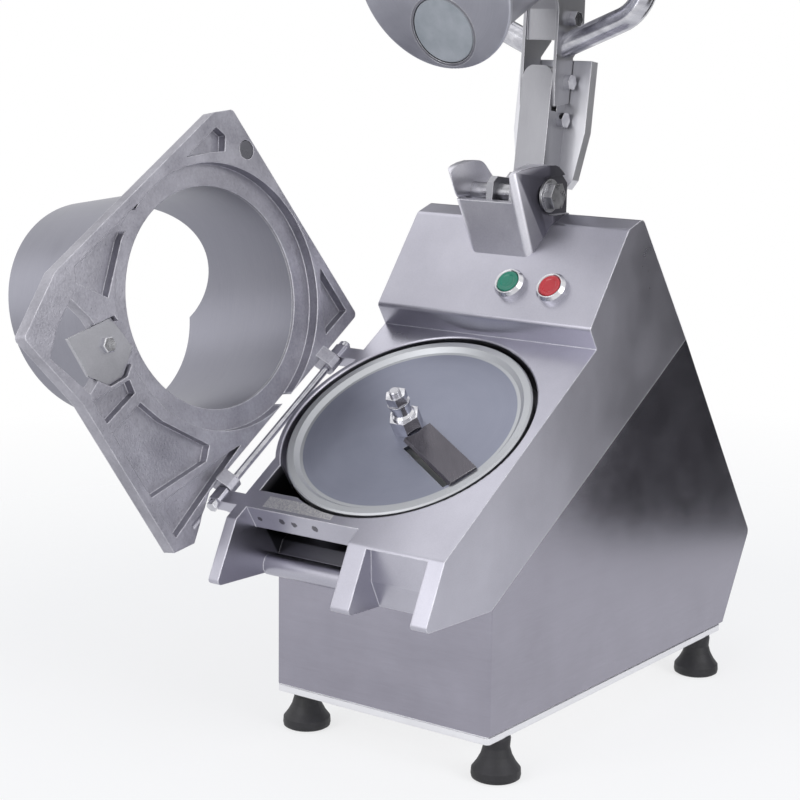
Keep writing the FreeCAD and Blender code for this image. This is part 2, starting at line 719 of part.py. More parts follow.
# Motor under the plate: flange, ribbed body, fan cover and a connection box
motor = new_body("motor_body", moved(DECK, disc_x, motor_offset, -drive_drop - plate_gauge))
pad(motor, "motor_flange", "XY", [rectangle(-52, 52, -52, 52)], -10, 0)
rounded(motor, "flange_corners", 9.0, lambda e: along(e, 2))
pad(motor, "motor_barrel", "XY", [("ring", (0, 0), motor_radius - 4)], -motor_length, -10)
pad(motor, "motor_cover", "XY", [("ring", (0, 0), motor_radius)], -motor_length, -motor_length + 34)
rounded(motor, "cover_round", 6.0, lambda e: circle_of(motor_radius)(e) and near(e.CenterOfMass.z, -motor_length))
rib_start = -motor_length + 34
rib = pad(motor, "cooling_rib", "XY", [rectangle(motor_radius - 6, motor_radius - 0.5, -1.2, 1.2)], rib_start, -10)
ribs = motor.newObject("PartDesign::PolarPattern", "cooling_ribs")
ribs.Originals = [rib]
ribs.Axis = (rib.Profile[0], ["N_Axis"])
ribs.Angle = 360
ribs.Occurrences = 18
motor.Tip = ribs
doc.recompute()
pad(motor, "connection_box", "YZ", [rectangle(-24, 24, -86, -34)], motor_radius - 8, motor_radius + 20)
pocket(motor, "motor_front_bore", "XY", [("ring", (0, 0), motor_shaft_radius + 6)], -8, 1)
keep(motor)

# Belt: flat loop around the two pulleys, with a small working gap
belt = new_body("drive_belt", moved(DECK, disc_x, 0, -belt_drop))
belt_gap = fit_gap + 0.05


def belt_loop(sketch, grow):
    first = sketch.GeometryCount
    big = big_pulley + grow
    little = small_pulley + grow
    lean = math.acos((big.value - little.value) / motor_offset.value)
    c, s = math.cos(lean), math.sin(lean)
    big_right = FreeCAD.Vector(big.value * s, big.value * c, 0)
    big_left = FreeCAD.Vector(-big.value * s, big.value * c, 0)
    far = motor_offset.value
    little_right = FreeCAD.Vector(little.value * s, far + little.value * c, 0)
    little_left = FreeCAD.Vector(-little.value * s, far + little.value * c, 0)
    up = FreeCAD.Vector(0, 0, 1)
    big_circle = Part.Circle(FreeCAD.Vector(0, 0, 0), up, big.value)
    little_circle = Part.Circle(FreeCAD.Vector(0, far, 0), up, little.value)
    a = math.atan2(c, s)
    sketch.addGeometry(Part.ArcOfCircle(big_circle, math.pi - a, 2 * math.pi + a), False)
    sketch.addGeometry(Part.LineSegment(big_right, little_right), False)
    sketch.addGeometry(Part.ArcOfCircle(little_circle, a, math.pi - a), False)
    sketch.addGeometry(Part.LineSegment(little_left, big_left), False)
    sketch.addConstraint(Sketcher.Constraint("Coincident", first, 3, -1, 1))
    pin_point(sketch, first + 2, 3, (0, motor_offset))
    for arc, radius in ((first, big), (first + 2, little)):
        rule = sketch.addConstraint(Sketcher.Constraint("Radius", arc, radius.value))
        sketch.setExpression("Constraints[%d]" % rule, radius.text)
    sketch.addConstraint(Sketcher.Constraint("Tangent", first, 2, first + 1, 1))
    sketch.addConstraint(Sketcher.Constraint("Tangent", first + 1, 2, first + 2, 1))
    sketch.addConstraint(Sketcher.Constraint("Tangent", first + 2, 2, first + 3, 1))
    sketch.addConstraint(Sketcher.Constraint("Tangent", first + 3, 2, first, 1))


for kind, grow, name in (("Pad", belt_gap + belt_thickness, "belt_solid"), ("Pocket", belt_gap, "belt_hollow")):
    loop = new_sketch(belt, name + "_sketch", "XY", -belt_width / 2 if kind == "Pad" else -belt_width)
    belt_loop(loop, grow)
    feature = belt.newObject("PartDesign::" + kind, name)
    feature.Profile = loop
    feature.Reversed = kind == "Pocket"
    feature.setExpression("Length", (belt_width if kind == "Pad" else belt_width * 2).text)
    belt.Tip = feature
    doc.recompute()
keep(belt)


# Pulleys: turned, flanged, with lightening holes in the large one
def pulley(name, frame, radius, bore, low, high):
    wheel = new_body(name, frame)
    width = belt_width / 2 + 1
    turned(wheel, name + "_turned", [
        (bore, low), (bore + 6, low), (bore + 6, -width - 2), (radius + 3, -width - 2), (radius + 3, -width),
        (radius, -width), (radius, width), (radius + 3, width), (radius + 3, width + 2), (bore + 6, width + 2),
        (bore + 6, high), (bore, high)])
    return wheel


driven = pulley("driven_pulley", moved(DECK, disc_x, 0, -belt_drop), big_pulley, shaft_radius, -16, 16)
hole = pocket(driven, "lightening_hole", "XY", [("ring", (33, 0), 8.0)], -20, 20)
holes = driven.newObject("PartDesign::PolarPattern", "lightening_holes")
holes.Originals = [hole]
holes.Axis = (hole.Profile[0], ["N_Axis"])
holes.Angle = 360
holes.Occurrences = 6
driven.Tip = holes
keep(driven)
motor_pulley = pulley("motor_pulley", moved(DECK, disc_x, motor_offset, -belt_drop), small_pulley,
                      motor_shaft_radius, -14, 12)
keep(motor_pulley)
keep(cylinder("motor_shaft", moved(DECK, disc_x, motor_offset, -drive_drop - plate_gauge - 7.5),
              motor_shaft_radius, drive_drop + plate_gauge + 7.5 - belt_drop + 14))
nodes[-1].Label = "motor_shaft"

# Disc shaft, stepped, with the threaded end that carries the hub stack
top_of_stud = dimension("top_of_stud", 38.5)
disc_face = dimension("disc_face", -5.0)
disc_gauge = dimension("disc_gauge", 4.0)
rim_top = dimension("rim_top", -1.0)
ejector_low = dimension("ejector_low", -27.0)
doc.recompute()
disc_under = disc_face - disc_gauge
shaft = new_body("drive_shaft", moved(DECK, disc_x, 0, 0))
turned(shaft, "shaft_turned", [
    (0, -drive_drop - 14), (shaft_radius - 1, -drive_drop - 14), (shaft_radius, -drive_drop - 13),
    (shaft_radius, disc_under - 6), (stud_radius, disc_under - 6), (stud_radius, top_of_stud - 1),
    (stud_radius - 1, top_of_stud), (0, top_of_stud)])
keep(shaft)

# Ejector plate: hub, round web and three raked paddles that push the cut food out
ejector = new_body("ejector_plate", moved(DECK, disc_x, 0, 0))
turned(ejector, "ejector_turned", [
    (stud_radius, disc_under - 6), (stud_radius, disc_under), (19, disc_under), (24, ejector_low + 4),
    (disc_radius - 14, ejector_low + 3), (disc_radius - 14, ejector_low), (shaft_radius, ejector_low),
    (shaft_radius, disc_under - 6)])
paddle = pad(ejector, "paddle", "XY", [("outline", [
    (20, -2.5), (disc_radius - 3, 8), (disc_radius - 3, 13), (20, 2.5)])], ejector_low, disc_under - 1.5)
paddles = ejector.newObject("PartDesign::PolarPattern", "paddles")
paddles.Originals = [paddle]
paddles.Axis = (paddle.Profile[0], ["N_Axis"])
paddles.Angle = 360
paddles.Occurrences = 3
ejector.Tip = paddles
keep(ejector)

# Slicing disc: dished plate with a bevelled rim and a slot under the blade edge
disc = new_body("cutting_disc", moved(DECK, disc_x, 0, 0))
turned(disc, "disc_turned", [
    (stud_radius, disc_under), (disc_radius - 1, disc_under), (disc_radius, disc_under + 1), (disc_radius, rim_top - 1.5),
    (disc_radius - 1.5, rim_top), (disc_radius - disc_rim + 4, rim_top), (disc_radius - disc_rim, disc_face),
    (stud_radius, disc_face)])
blade_turn = dimension("blade_turn", -29.5)
blade_side = dimension("blade_side", 1.5)
blade_start = dimension("blade_start", 13.0)
blade_end = dimension("blade_end", 97.5)
doc.recompute()
c, s = cosine(blade_turn), sine(blade_turn)


def on_blade(along_it, across):
    along_it = size(along_it)
    across = size(across)
    return (along_it * c - across * s, along_it * s + across * c)


edge_y = blade_side - blade_width / 2
pocket(disc, "slicing_slot", "XY", [("outline", [
    on_blade(blade_start + 8, edge_y - 5), on_blade(blade_end - 3, edge_y - 5),
    on_blade(blade_end - 3, edge_y + 4), on_blade(blade_start + 8, edge_y + 4)])], disc_under - 2, disc_face + 2)
keep(disc)
blade = new_body("cutting_blade", moved(DECK, disc_x, 0, 0))
blade_gauge = 2.6
pad(blade, "blade_strip", "XY", [("outline", [
    on_blade(blade_start, edge_y), on_blade(blade_end, edge_y),
    on_blade(blade_end, edge_y + blade_width), on_blade(blade_start, edge_y + blade_width)])],
    disc_face, disc_face + blade_gauge)
bevelled(blade, "blade_edge", 2.2, lambda e: near(e.CenterOfMass.z, disc_face + blade_gauge) and near(
    e.CenterOfMass.x, (on_blade(blade_start, edge_y)[0] + on_blade(blade_end, edge_y)[0]) / 2))
pocket(blade, "blade_hub_clearance", "XY", [("ring", (0, 0), 15.5)], disc_face - 1, disc_face + 10)
keep(blade)

# Hub stack: lower hexagon nut, turned sleeve and the top lock nut
nut = new_body("hub_nut", moved(DECK, disc_x, 0, 0))
pad(nut, "hub_hexagon", "XY", [hexagon((0, 0), 25.0), ("ring", (0, 0), stud_radius)], disc_face, disc_face + 15)
keep(nut)
sleeve = new_body("hub_sleeve", moved(DECK, disc_x, 0, 0))
turned(sleeve, "sleeve_turned", [
    (stud_radius, disc_face + 15), (10.5, disc_face + 15), (10.5, disc_face + 17), (8.5, disc_face + 19),
    (8.5, disc_face + 27), (10, disc_face + 28), (10, disc_face + 30), (stud_radius, disc_face + 30)])
keep(sleeve)
lock = new_body("lock_nut", moved(DECK, disc_x, 0, 0))
pad(lock, "lock_hexagon", "XY", [hexagon((0, 0), 17.0), ("ring", (0, 0), stud_radius)], disc_face + 30, disc_face + 39)
keep(lock)

# Cable gland in the rear wall
gland = new_body("cable_gland", gland_frame)
turned(gland, "gland_turned", [
    (4.0, -10), (gland_radius, -10), (gland_radius, 0), (12, 0), (12, 5), (9.5, 7), (9.5, 16), (7, 20), (4.0, 20)])
keep(gland)

# Hopper plate: flat casting with pockets beneath, hinge lugs and the funnel mouth
hopper = new_body("hopper_plate", HINGE)
p0 = plate_lift
p1 = plate_lift + plate_thickness
outer = [(10, hopper_back), (hopper_reach - 11.3, hopper_back), (hopper_reach - 0.5, 102), (hopper_reach, -129),
         (hopper_reach - 21.4, -189.3), (156.6, -179.4), (-2.5, -190), (-11.7, -168), (10, -125)]
pad(hopper, "plate_slab", "XY", [("outline", outer)], p0, p1)
rounded(hopper, "plate_round", 5.0, lambda e: along(e, 2) and e.CenterOfMass.x > 5)
for name, start in (("hopper_front_lug", front_lug + lug_length + 1), ("hopper_rear_lug", rear_lug - lug_length - 1)):
    pad(hopper, name, "XZ", [("outline", [
        (0, -7.5), (5, -6), (16, p0), (20, p0 + 4), (14, p1), (8, p1), (-5.5, 5.5), (-7.5, 0), (-5, -5.5)])],
        start, start + lug_length)
pocket(hopper, "hopper_hinge_bores", "XZ", [("ring", (0, 0), hinge_radius + run_gap)], -160, 110)
mouth = new_sketch(hopper, "mouth_sketch", "XY", p0 - 1)
ring(mouth, (bore_offset, 0), mouth_radius)
mouth_cut = hopper.newObject("PartDesign::Pocket", "mouth")
mouth_cut.Profile = mouth
mouth_cut.Reversed = True
mouth_cut.setExpression("Length", (plate_thickness - 2).text)
hopper.Tip = mouth_cut
doc.recompute()
pocket(hopper, "throat", "XY", [("ring", (bore_offset, 0), tube_radius - 2)], p0 - 5, p1 + 5)
floor_of_pocket = 9.0
pocket(hopper, "front_pockets", "XY", [
    ("outline", [(6, -180), (40, -178), (22, -90), (16, -70), (12, -120)]),
    ("outline", [(50, -177), (118, -172), (118, -132), (90, -124), (40, -98), (32, -110)]),
    ("outline", [(128, -171), (152, -170), (146, -150), (140, -128), (128, -131)])],
    p0 - 1, p0 + floor_of_pocket)
pocket(hopper, "rear_pockets", "XY", [
    ("outline", [(22, 114), (22, 78), (40, 90), (66, 108), (72, 114)]),
    ("outline", [(244, 96), (244, 50), (232, 74), (222, 90), (232, 100)]),
    ("outline", [(246, -20), (247, -110), (236, -118), (206, -100), (234, -56)])],
    p0 - 1, p0 + floor_of_pocket)
latch_outline = [(205, -153), (190, -106), (156, -104), (145, -128), (150, -146), (168, -157)]
latch_bed = 7.5
pocket(hopper, "latch_window", "XY", [("outline", [
    (229, -131), (206, -126), (182, -126), (164, -140), (158, -168), (206, -180), (221, -157)])],
    p0 - 5, p0 + 30)
pocket(hopper, "latch_seat", "XY", [("outline", [
    (207, -154), (191, -104.5), (155, -102.5), (143.5, -128), (148.5, -147), (168, -158.5)])],
    p0 - 1, p0 + latch_bed)
magnet_radius = dimension("magnet_radius", 8.5)
magnet_x = dimension("magnet_x", 208.0)
magnet_y = dimension("magnet_y", 112.0)
doc.recompute()
pocket(hopper, "magnet_seat", "XY", [("ring", (magnet_x, magnet_y), magnet_radius + 0.05)], p0 - 1, p0 + 5)
keep(hopper)

# Hopper tube: rolled sheet, longer on the far side, with a flange under the plate
tube = new_body("hopper_tube", HINGE)
shift = 0.13
slant = tube_radius * shift
pad(tube, "tube_skin", "XY", [("ring", (bore_offset, 0), tube_radius), ("ring", (bore_offset, 0), tube_radius - tube_wall)],
    p1, tube_length + slant)
pocket(tube, "slanted_rim", "XZ", [("outline", [
    (bore_offset - tube_radius - 20, tube_length - slant - 20 * shift), (bore_offset + tube_radius + 20, tube_length + slant + 20 * shift),
    (bore_offset + tube_radius + 20, tube_length + 80), (bore_offset - tube_radius - 20, tube_length + 80)])],
    -tube_radius - 10, tube_radius + 10)
# Round notch in the rim on the side of the pivot, where the feed stem swings in
pocket(tube, "swing_notch", "XZ", [("ring", (bore_offset, notch_height), notch_radius)],
       tube_radius / 3.0, tube_radius + 10)
keep(tube)

# Latch on the hopper: bolted bracket, catch block, screw, and the safety magnet
latch = new_body("latch_bracket", HINGE)
latch_face = p0 + latch_bed - 2.8
pad(latch, "latch_plate", "XY", [("outline", latch_outline)], latch_face, p0 + latch_bed)
pocket(latch, "latch_screw_hole", "XY", [("ring", (175, -124), 4.05)], -20, 20)
keep(latch)
screw = new_body("latch_screw", moved(HINGE, 175, -124, 0))
pad(screw, "screw_shank", "XY", [("ring", (0, 0), 4.0)], latch_face, p0 + latch_bed)
pad(screw, "screw_head", "XY", [hexagon((0, 0), 13.0)], p0 + 0.3, latch_face)
bevelled(screw, "screw_bevel", 0.8, lambda e: near(e.CenterOfMass.z, p0 + 0.3))
keep(screw)
magnet = new_body("safety_magnet", moved(HINGE, magnet_x, magnet_y, 0))
pad(magnet, "magnet_disc", "XY", [("ring", (0, 0), magnet_radius)], p0 + 0.3, p0 + 5)
bevelled(magnet, "magnet_bevel", 0.6, lambda e: near(e.CenterOfMass.z, p0 + 0.3))
keep(magnet)

# Lever arm: square tube with two lugs that straddle the slot and meet the pivot
arm = new_body("lever_arm", moved(ARM, disc_x, 0, 0))
arm_half = arm_width / 2
lug_eye = dimension("lug_eye", 14.0)
doc.recompute()
pad(arm, "arm_tube", "YZ", [rectangle(arm_front, arm_back, 12, arm_length)], -arm_half, arm_half)
rounded(arm, "arm_round_top", 11.0, lambda e: along(e, 1) and near(e.CenterOfMass.z, arm_length))
pad(arm, "arm_lugs", "YZ", [("outline", [
    (-lug_eye + 6, -lug_eye), (8, -lug_eye), (arm_front + 2, -9), (arm_back, 4), (arm_back, 20), (arm_front - 6, 20),
    (arm_front - 12, lug_eye), (-lug_eye + 6, lug_eye), (-lug_eye, lug_eye - 6), (-lug_eye, -lug_eye + 6)])],
    -arm_half, arm_half)
pocket(arm, "arm_inside", "YZ", [("outline", [
    (arm_front + 3, 16), (arm_back - 3, 16), (arm_back - 3, arm_length - 5), (arm_front + 3, arm_length - 5)])],
    -arm_half + 3, arm_half - 3)
pocket(arm, "between_lugs", "YZ", [rectangle(-lug_eye - 5, arm_front - 2, -lug_eye - 5, lug_eye + 15)],
       -arm_half + 7, arm_half - 7)
pocket(arm, "arm_eye", "YZ", [("ring", (0, 0), pivot_bolt_radius + run_gap)], -60, 60)
pocket(arm, "side_slot", "YZ", [rectangle(arm_front + 3.5, arm_front + 13, 79, 101)], -60, 60)
bolt_depth = dimension("bolt_depth", 48.0)
bolt_size = dimension("bolt_size", 4.0)
bolt_heights = (72, 107, 165)
doc.recompute()
pocket(arm, "arm_bolt_holes", "YZ", [("ring", (bolt_depth, z), bolt_size + run_gap) for z in bolt_heights[:2]], -60, 60)
keep(arm)

# Channel plate behind the arm
channel = new_body("lever_back_plate", moved(ARM, disc_x, 0, 0))
pad(channel, "channel_web", "XZ", [("outline", [
    (-20, 2), (20, 2), (31, 18), (39, 62), (39, 128), (-39, 128), (-39, 62), (-31, 18)])], arm_back, arm_back + 11)
rounded(channel, "channel_round", 8.0, lambda e: along(e, 1) and e.CenterOfMass.z < 10)
pocket(channel, "channel_hollow", "XZ", [("outline", [
    (-18, -8), (18, -8), (28.6, 18), (36.5, 62), (36.5, 140), (-36.5, 140), (-36.5, 62), (-28.6, 18)])],
    arm_back + 3, arm_back + 20)
keep(channel)

# Side plates that carry the feed tube, in the pusher frame
bracket = new_body("lever_bracket", moved(LEVER, disc_x, 0, 0))
plate_gap = arm_half + 0.02
stem_y = pusher_y + insert_offset
side_plate = [
    (-43.2, 95), (-52, 72), (-75, 82.5), (-129, 112), (stem_y, 122), (stem_y, 166), (-128, 162), (-84, 140),
    (-78.6, 118)]
for name, low, high in (("left_plate", -plate_gap - 3, -plate_gap), ("right_plate", plate_gap, plate_gap + 3)):
    pad(bracket, name, "YZ", [("outline", side_plate)], low, high)
pad(bracket, "cross_plate", "YZ", [("outline", [(-104, 102), (-129, 115), (-150, 119), (-150, 123), (-128, 119), (-103, 106)])],
    -plate_gap, plate_gap)
pocket(bracket, "stem_seat", "XY", [("ring", (0, stem_y), stem_radius + 0.02)], 0, 300)
keep(bracket)

# Feed tube and the round pusher welded to its lower end
stem = new_body("feed_tube", moved(LEVER, disc_x, stem_y, pusher_z))
pad(stem, "stem_skin", "XY", [("ring", (0, 0), stem_radius), ("ring", (0, 0), insert_radius + 0.6)], 0, stem_length)
keep(stem)
pusher = new_body("large_pusher", moved(LEVER, disc_x, pusher_y, pusher_z))
pad(pusher, "pusher_disc", "XY", [
    ("ring", (0, 0), pusher_radius), ("ring", (0, insert_offset), stem_radius + 0.02)], 0, 5)
rounded(pusher, "pusher_edge", 1.5, circle_of(pusher_radius))
keep(pusher)

# Small pusher: puck, rod and a knob that rests on the top of the feed tube
small = new_body("small_pusher", moved(LEVER, disc_x, stem_y, pusher_z))
turned(small, "small_pusher_turned", [
    (0, 0), (insert_radius - 1, 0), (insert_radius, 1), (insert_radius, 22), (insert_radius - 2, 24), (9, 26), (9, stem_length),
    (stem_radius + 2, stem_length), (stem_radius + 4, stem_length + 3), (stem_radius + 2, stem_length + 8),
    (16, stem_length + 14), (15, stem_length + 24), (24, stem_length + 30), (25, stem_length + 38), (20, stem_length + 45),
    (0, stem_length + 46)])
keep(small)

# Cross bolts through the arm and the side plates
cross = []
spread = plate_gap + 3
for i, z in enumerate(bolt_heights):
    reach = spread if z > 80 else size(arm_half)
    item = new_body("cross_bolt_%d" % i, moved(ARM, disc_x, bolt_depth, z))
    pad(item, "cross_shank_%d" % i, "YZ", [("ring", (0, 0), bolt_size)], -reach - 8, reach + 1)
    pad(item, "cross_head_%d" % i, "YZ", [hexagon((0, 0), 13.0)], reach + 0.02, reach + 7)
    pad(item, "cross_nut_%d" % i, "YZ", [hexagon((0, 0), 13.0)], -reach - 6, -reach - 0.02)
    cross.append(item)
keep(gathered("lever_bolts", cross))
bore_cut = fused("bracket_bores", [
    cylinder("bracket_bore_%d" % i, moved(ARM, disc_x - 60, bolt_depth, z, "rotationy(90)"), bolt_size + run_gap, 120)
    for i, z in enumerate(bolt_heights[1:])])
bracket_drilled = cut("lever_bracket_drilled", bracket, bore_cut)
bracket.Label = "bracket_plates"
bracket_drilled.Label = "lever_bracket"
nodes[nodes.index(bracket)] = bracket_drilled
doc.recompute()

# Handle: one bent tube from side to side, welded to the side plates
handle = new_body("handle_tube", moved(ARM, disc_x, 0, 0))
handle_depth = dimension("handle_depth", 42.0)
handle_start = dimension("handle_start", 132.0)
doc.recompute()
turn = size(90.0) - handle_rise
pull = handle_bend * tangent(turn / 2)
corner_z = handle_start + handle_spread * tangent(handle_rise)
path = new_sketch(handle, "handle_path", "XZ", -handle_depth)


# Right half of the path from the middle of the arm, then the left half mirrored
def handle_half(sketch, side):
    first = sketch.GeometryCount
    bend = handle_bend
    corner_x = handle_spread * side
    start = (size(8.0) * side, handle_start + size(8.0) * tangent(handle_rise))
    knee_in = (corner_x - pull * cosine(handle_rise) * side, corner_z - pull * sine(handle_rise))
    knee_out = (corner_x, corner_z + pull)
    top_in = (corner_x, handle_reach - bend)
    top_out = (corner_x - bend * side, handle_reach)
    sketch.addGeometry(Part.LineSegment(flat_vector(start), flat_vector(knee_in)), False)
    sketch.addGeometry(Part.LineSegment(flat_vector(knee_out), flat_vector(top_in)), False)
    low_centre = FreeCAD.Vector(knee_out[0].value - bend.value * side, knee_out[1].value, 0)
    top_centre = FreeCAD.Vector(top_in[0].value - bend.value * side, top_in[1].value, 0)
    rise = math.radians(handle_rise.value)
    up = FreeCAD.Vector(0, 0, 1)
    low_circle = Part.Circle(low_centre, up, bend.value)
    top_circle = Part.Circle(top_centre, up, bend.value)
    if side > 0:
        low_arc = Part.ArcOfCircle(low_circle, rise - math.pi / 2, 0)
        top_arc = Part.ArcOfCircle(top_circle, 0, math.pi / 2)
    else:
        low_arc = Part.ArcOfCircle(low_circle, math.pi, math.pi * 1.5 - rise)
        top_arc = Part.ArcOfCircle(top_circle, math.pi / 2, math.pi)
    sketch.addGeometry(low_arc, False)
    sketch.addGeometry(top_arc, False)
    pin_point(sketch, first, 1, start)
    pin_point(sketch, first, 2, knee_in)
    pin_point(sketch, first + 1, 1, knee_out)
    pin_point(sketch, first + 1, 2, top_in)
    near_end, far_end = (1, 2) if side > 0 else (2, 1)
    sketch.addConstraint(Sketcher.Constraint("Coincident", first + 2, near_end, first, 2))
    sketch.addConstraint(Sketcher.Constraint("Coincident", first + 2, far_end, first + 1, 1))
    rule = sketch.addConstraint(Sketcher.Constraint("Radius", first + 2, bend.value))
    sketch.setExpression("Constraints[%d]" % rule, bend.text)
    sketch.addConstraint(Sketcher.Constraint("Coincident", first + 3, near_end, first + 1, 2))
    pin_point(sketch, first + 3, far_end, top_out)
    rule = sketch.addConstraint(Sketcher.Constraint("Radius", first + 3, bend.value))
    sketch.setExpression("Constraints[%d]" % rule, bend.text)
    return first + 3, far_end


right_arc, right_end = handle_half(path, 1)
left_arc, left_end = handle_half(path, -1)
bar = path.addGeometry(Part.LineSegment(
    FreeCAD.Vector(handle_spread.value - handle_bend.value, handle_reach.value, 0),
    FreeCAD.Vector(-handle_spread.value + handle_bend.value, handle_reach.value, 0)), False)
path.addConstraint(Sketcher.Constraint("Coincident", bar, 1, right_arc, right_end))
path.addConstraint(Sketcher.Constraint("Coincident", bar, 2, left_arc, left_end))
doc.recompute()
profile = handle.newObject("Sketcher::SketchObject", "handle_profile")
flat = [f for f in handle.Origin.OriginFeatures if f.Role == "YZ_Plane"][0]
profile.AttachmentSupport = [(flat, "")]
profile.MapMode = "FlatFace"
ring(profile, (handle_depth, handle_reach), handle_radius)
ring(profile, (handle_depth, handle_reach), handle_radius - 2)
doc.recompute()
print("path", path.Shape.BoundBox, path.State, profile.Shape.BoundBox)
sweep = handle.newObject("PartDesign::AdditivePipe", "handle_sweep")
sweep.Profile = profile
sweep.Spine = (path, [])
sweep.Mode = 0
handle.Tip = sweep
doc.recompute()
pocket(handle, "handle_ends", "XZ", [rectangle(-spread - 0.02, spread + 0.02, handle_start - 40, handle_start + 60)],
       handle_depth - 30, handle_depth + 30)
keep(handle)

# Finished shapes: check every object, then write one file for each sub-part
doc.recompute()
bad = []
for item in doc.Objects:
    if "Invalid" in item.State or "Error" in item.State:
        bad.append("%s %s %s" % (item.Name, item.State, item.getStatusString()))
for item in nodes:
    shape = item.Shape
    if shape.isNull() or not shape.isValid() or not shape.Solids:
        bad.append("%s has no sound shape" % item.Label)
for line in bad + flush:
    print(line)
if bad or flush:
    raise SystemExit("the model is not sound")
os.makedirs("parts", exist_ok=True)
for item in nodes:
    item.Shape.exportStep("parts/%s.step" % item.Label)
    box = item.Shape.BoundBox
    print("%-18s solids %d volume %.0f faces %d X %.0f..%.0f Y %.0f..%.0f Z %.0f..%.0f" % (
        item.Label, len(item.Shape.Solids), item.Shape.Volume, len(item.Shape.Faces),
        box.XMin, box.XMax, box.YMin, box.YMax, box.ZMin, box.ZMax))
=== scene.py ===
# %% [markdown]
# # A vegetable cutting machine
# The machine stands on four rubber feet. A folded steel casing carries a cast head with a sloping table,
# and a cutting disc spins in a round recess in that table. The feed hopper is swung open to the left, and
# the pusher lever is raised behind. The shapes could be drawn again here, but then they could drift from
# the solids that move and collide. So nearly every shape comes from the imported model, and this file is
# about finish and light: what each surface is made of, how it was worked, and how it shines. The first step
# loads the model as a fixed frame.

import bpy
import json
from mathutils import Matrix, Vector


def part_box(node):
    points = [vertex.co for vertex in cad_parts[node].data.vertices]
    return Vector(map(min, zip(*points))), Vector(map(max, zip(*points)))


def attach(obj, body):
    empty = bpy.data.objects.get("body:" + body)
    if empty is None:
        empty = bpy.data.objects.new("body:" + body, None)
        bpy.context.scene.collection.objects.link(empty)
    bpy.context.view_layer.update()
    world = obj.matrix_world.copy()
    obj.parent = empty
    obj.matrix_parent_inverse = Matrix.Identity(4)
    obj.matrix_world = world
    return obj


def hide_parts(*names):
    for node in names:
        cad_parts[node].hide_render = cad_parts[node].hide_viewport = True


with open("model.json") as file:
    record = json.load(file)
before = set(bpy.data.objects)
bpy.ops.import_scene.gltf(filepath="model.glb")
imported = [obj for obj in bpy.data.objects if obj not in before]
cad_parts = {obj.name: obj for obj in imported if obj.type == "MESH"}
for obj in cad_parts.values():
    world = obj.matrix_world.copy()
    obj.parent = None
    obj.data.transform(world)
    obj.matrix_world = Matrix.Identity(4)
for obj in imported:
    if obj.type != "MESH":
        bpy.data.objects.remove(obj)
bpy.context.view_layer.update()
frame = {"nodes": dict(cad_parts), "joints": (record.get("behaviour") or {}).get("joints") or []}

# %% Modules
import json
import math

import bmesh
import bpy
from mathutils import Matrix, Vector

print("Blender", bpy.app.version_string)

# %% [markdown]
# ## Where things are
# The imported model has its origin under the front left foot. Two other places are handier:
# the point midway between the four feet, and the middle of the sloping table where the disc
# spins. Both could be typed in as numbers. They are read from the feet and from the disc's
# joint instead, so that lights and materials stay in place if a size changes.

# %% Places and directions on the machine
def box_middle(node):
    low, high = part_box(node)
    return (Vector(low) + Vector(high)) / 2


middle = box_middle("rubber_feet")
middle.z = 0
joint = {j["name"]: j for j in frame["joints"]}
disc_centre = Vector(joint["disc_spin"]["pos_m"])
table_normal = Vector(joint["disc_spin"]["axis"])
table_tilt = math.atan2(-table_normal.y, table_normal.z)
print("middle of the feet", [round(v, 4) for v in middle])
print("table tilt, degrees", round(math.degrees(table_tilt), 2))

# %% [markdown]
# ## The camera
# The machine is seen from its front right corner, a little above the table. A short lens close
# by would frame it too, but its upright edges would lean together. A long lens from further
# away keeps them nearly parallel, as a product photograph does. The camera is placed from the
# middle of the feet and turned by three angles: yaw turns it left, pitch tips it down, and a
# small roll levels the picture as the photograph is levelled.

# %% Camera
camera_yaw = math.radians(36.24)
camera_pitch = math.radians(10.96)
camera_roll = math.radians(0.75)
camera_spot = middle + Vector((1.0046, -1.5543, 0.6460))
lens_mm = 90.97
sensor_mm = 36

ahead = Vector((-math.sin(camera_yaw) * math.cos(camera_pitch),
                math.cos(camera_yaw) * math.cos(camera_pitch),
                -math.sin(camera_pitch)))
level_right = Vector((math.cos(camera_yaw), math.sin(camera_yaw), 0))
level_up = level_right.cross(ahead)
right = level_right * math.cos(camera_roll) + level_up * math.sin(camera_roll)
up = level_up * math.cos(camera_roll) - level_right * math.sin(camera_roll)

camera_data = bpy.data.cameras.new("camera")
camera_data.lens = lens_mm
camera_data.sensor_width = sensor_mm
camera = bpy.data.objects.new("camera", camera_data)
turned = Matrix((right, up, -ahead)).transposed().to_4x4()
camera.matrix_world = Matrix.Translation(camera_spot) @ turned
bpy.context.scene.collection.objects.link(camera)
bpy.context.scene.camera = camera
print("camera at", [round(v, 4) for v in camera_spot])

# %% [markdown]
# ## Small helpers for node trees
# A material here is a tree of nodes. Written out in full, each node takes four or five lines,
# and what the surface is like gets lost among them. These helpers add a node and link or fill
# its inputs in one line, so that a material reads like a list of what happens to the surface.

# %% Add a node
def add(tree, kind, inputs=None, **options):
    node = tree.nodes.new(kind)
    for key, value in options.items():
        setattr(node, key, value)
    for key, value in (inputs or {}).items():
        if isinstance(value, bpy.types.NodeSocket):
            tree.links.new(value, node.inputs[key])
        else:
            node.inputs[key].default_value = value
    return node


def maths(tree, operation, first, second=0.0, clamp=False):
    node = add(tree, "ShaderNodeMath", {0: first, 1: second}, operation=operation)
    node.use_clamp = clamp
    return node.outputs[0]


print("helpers", add.__name__, maths.__name__)

# %% [markdown]
# ## Ranges, windows and sums
# Most masks are built from three moves. `spread` stretches a range of values to another range,
# by default 0 to 1. `window` is 1 between a rising and a falling edge and 0 outside them, which
# marks out a patch on a surface. `weighed` adds several values, each with its own share.

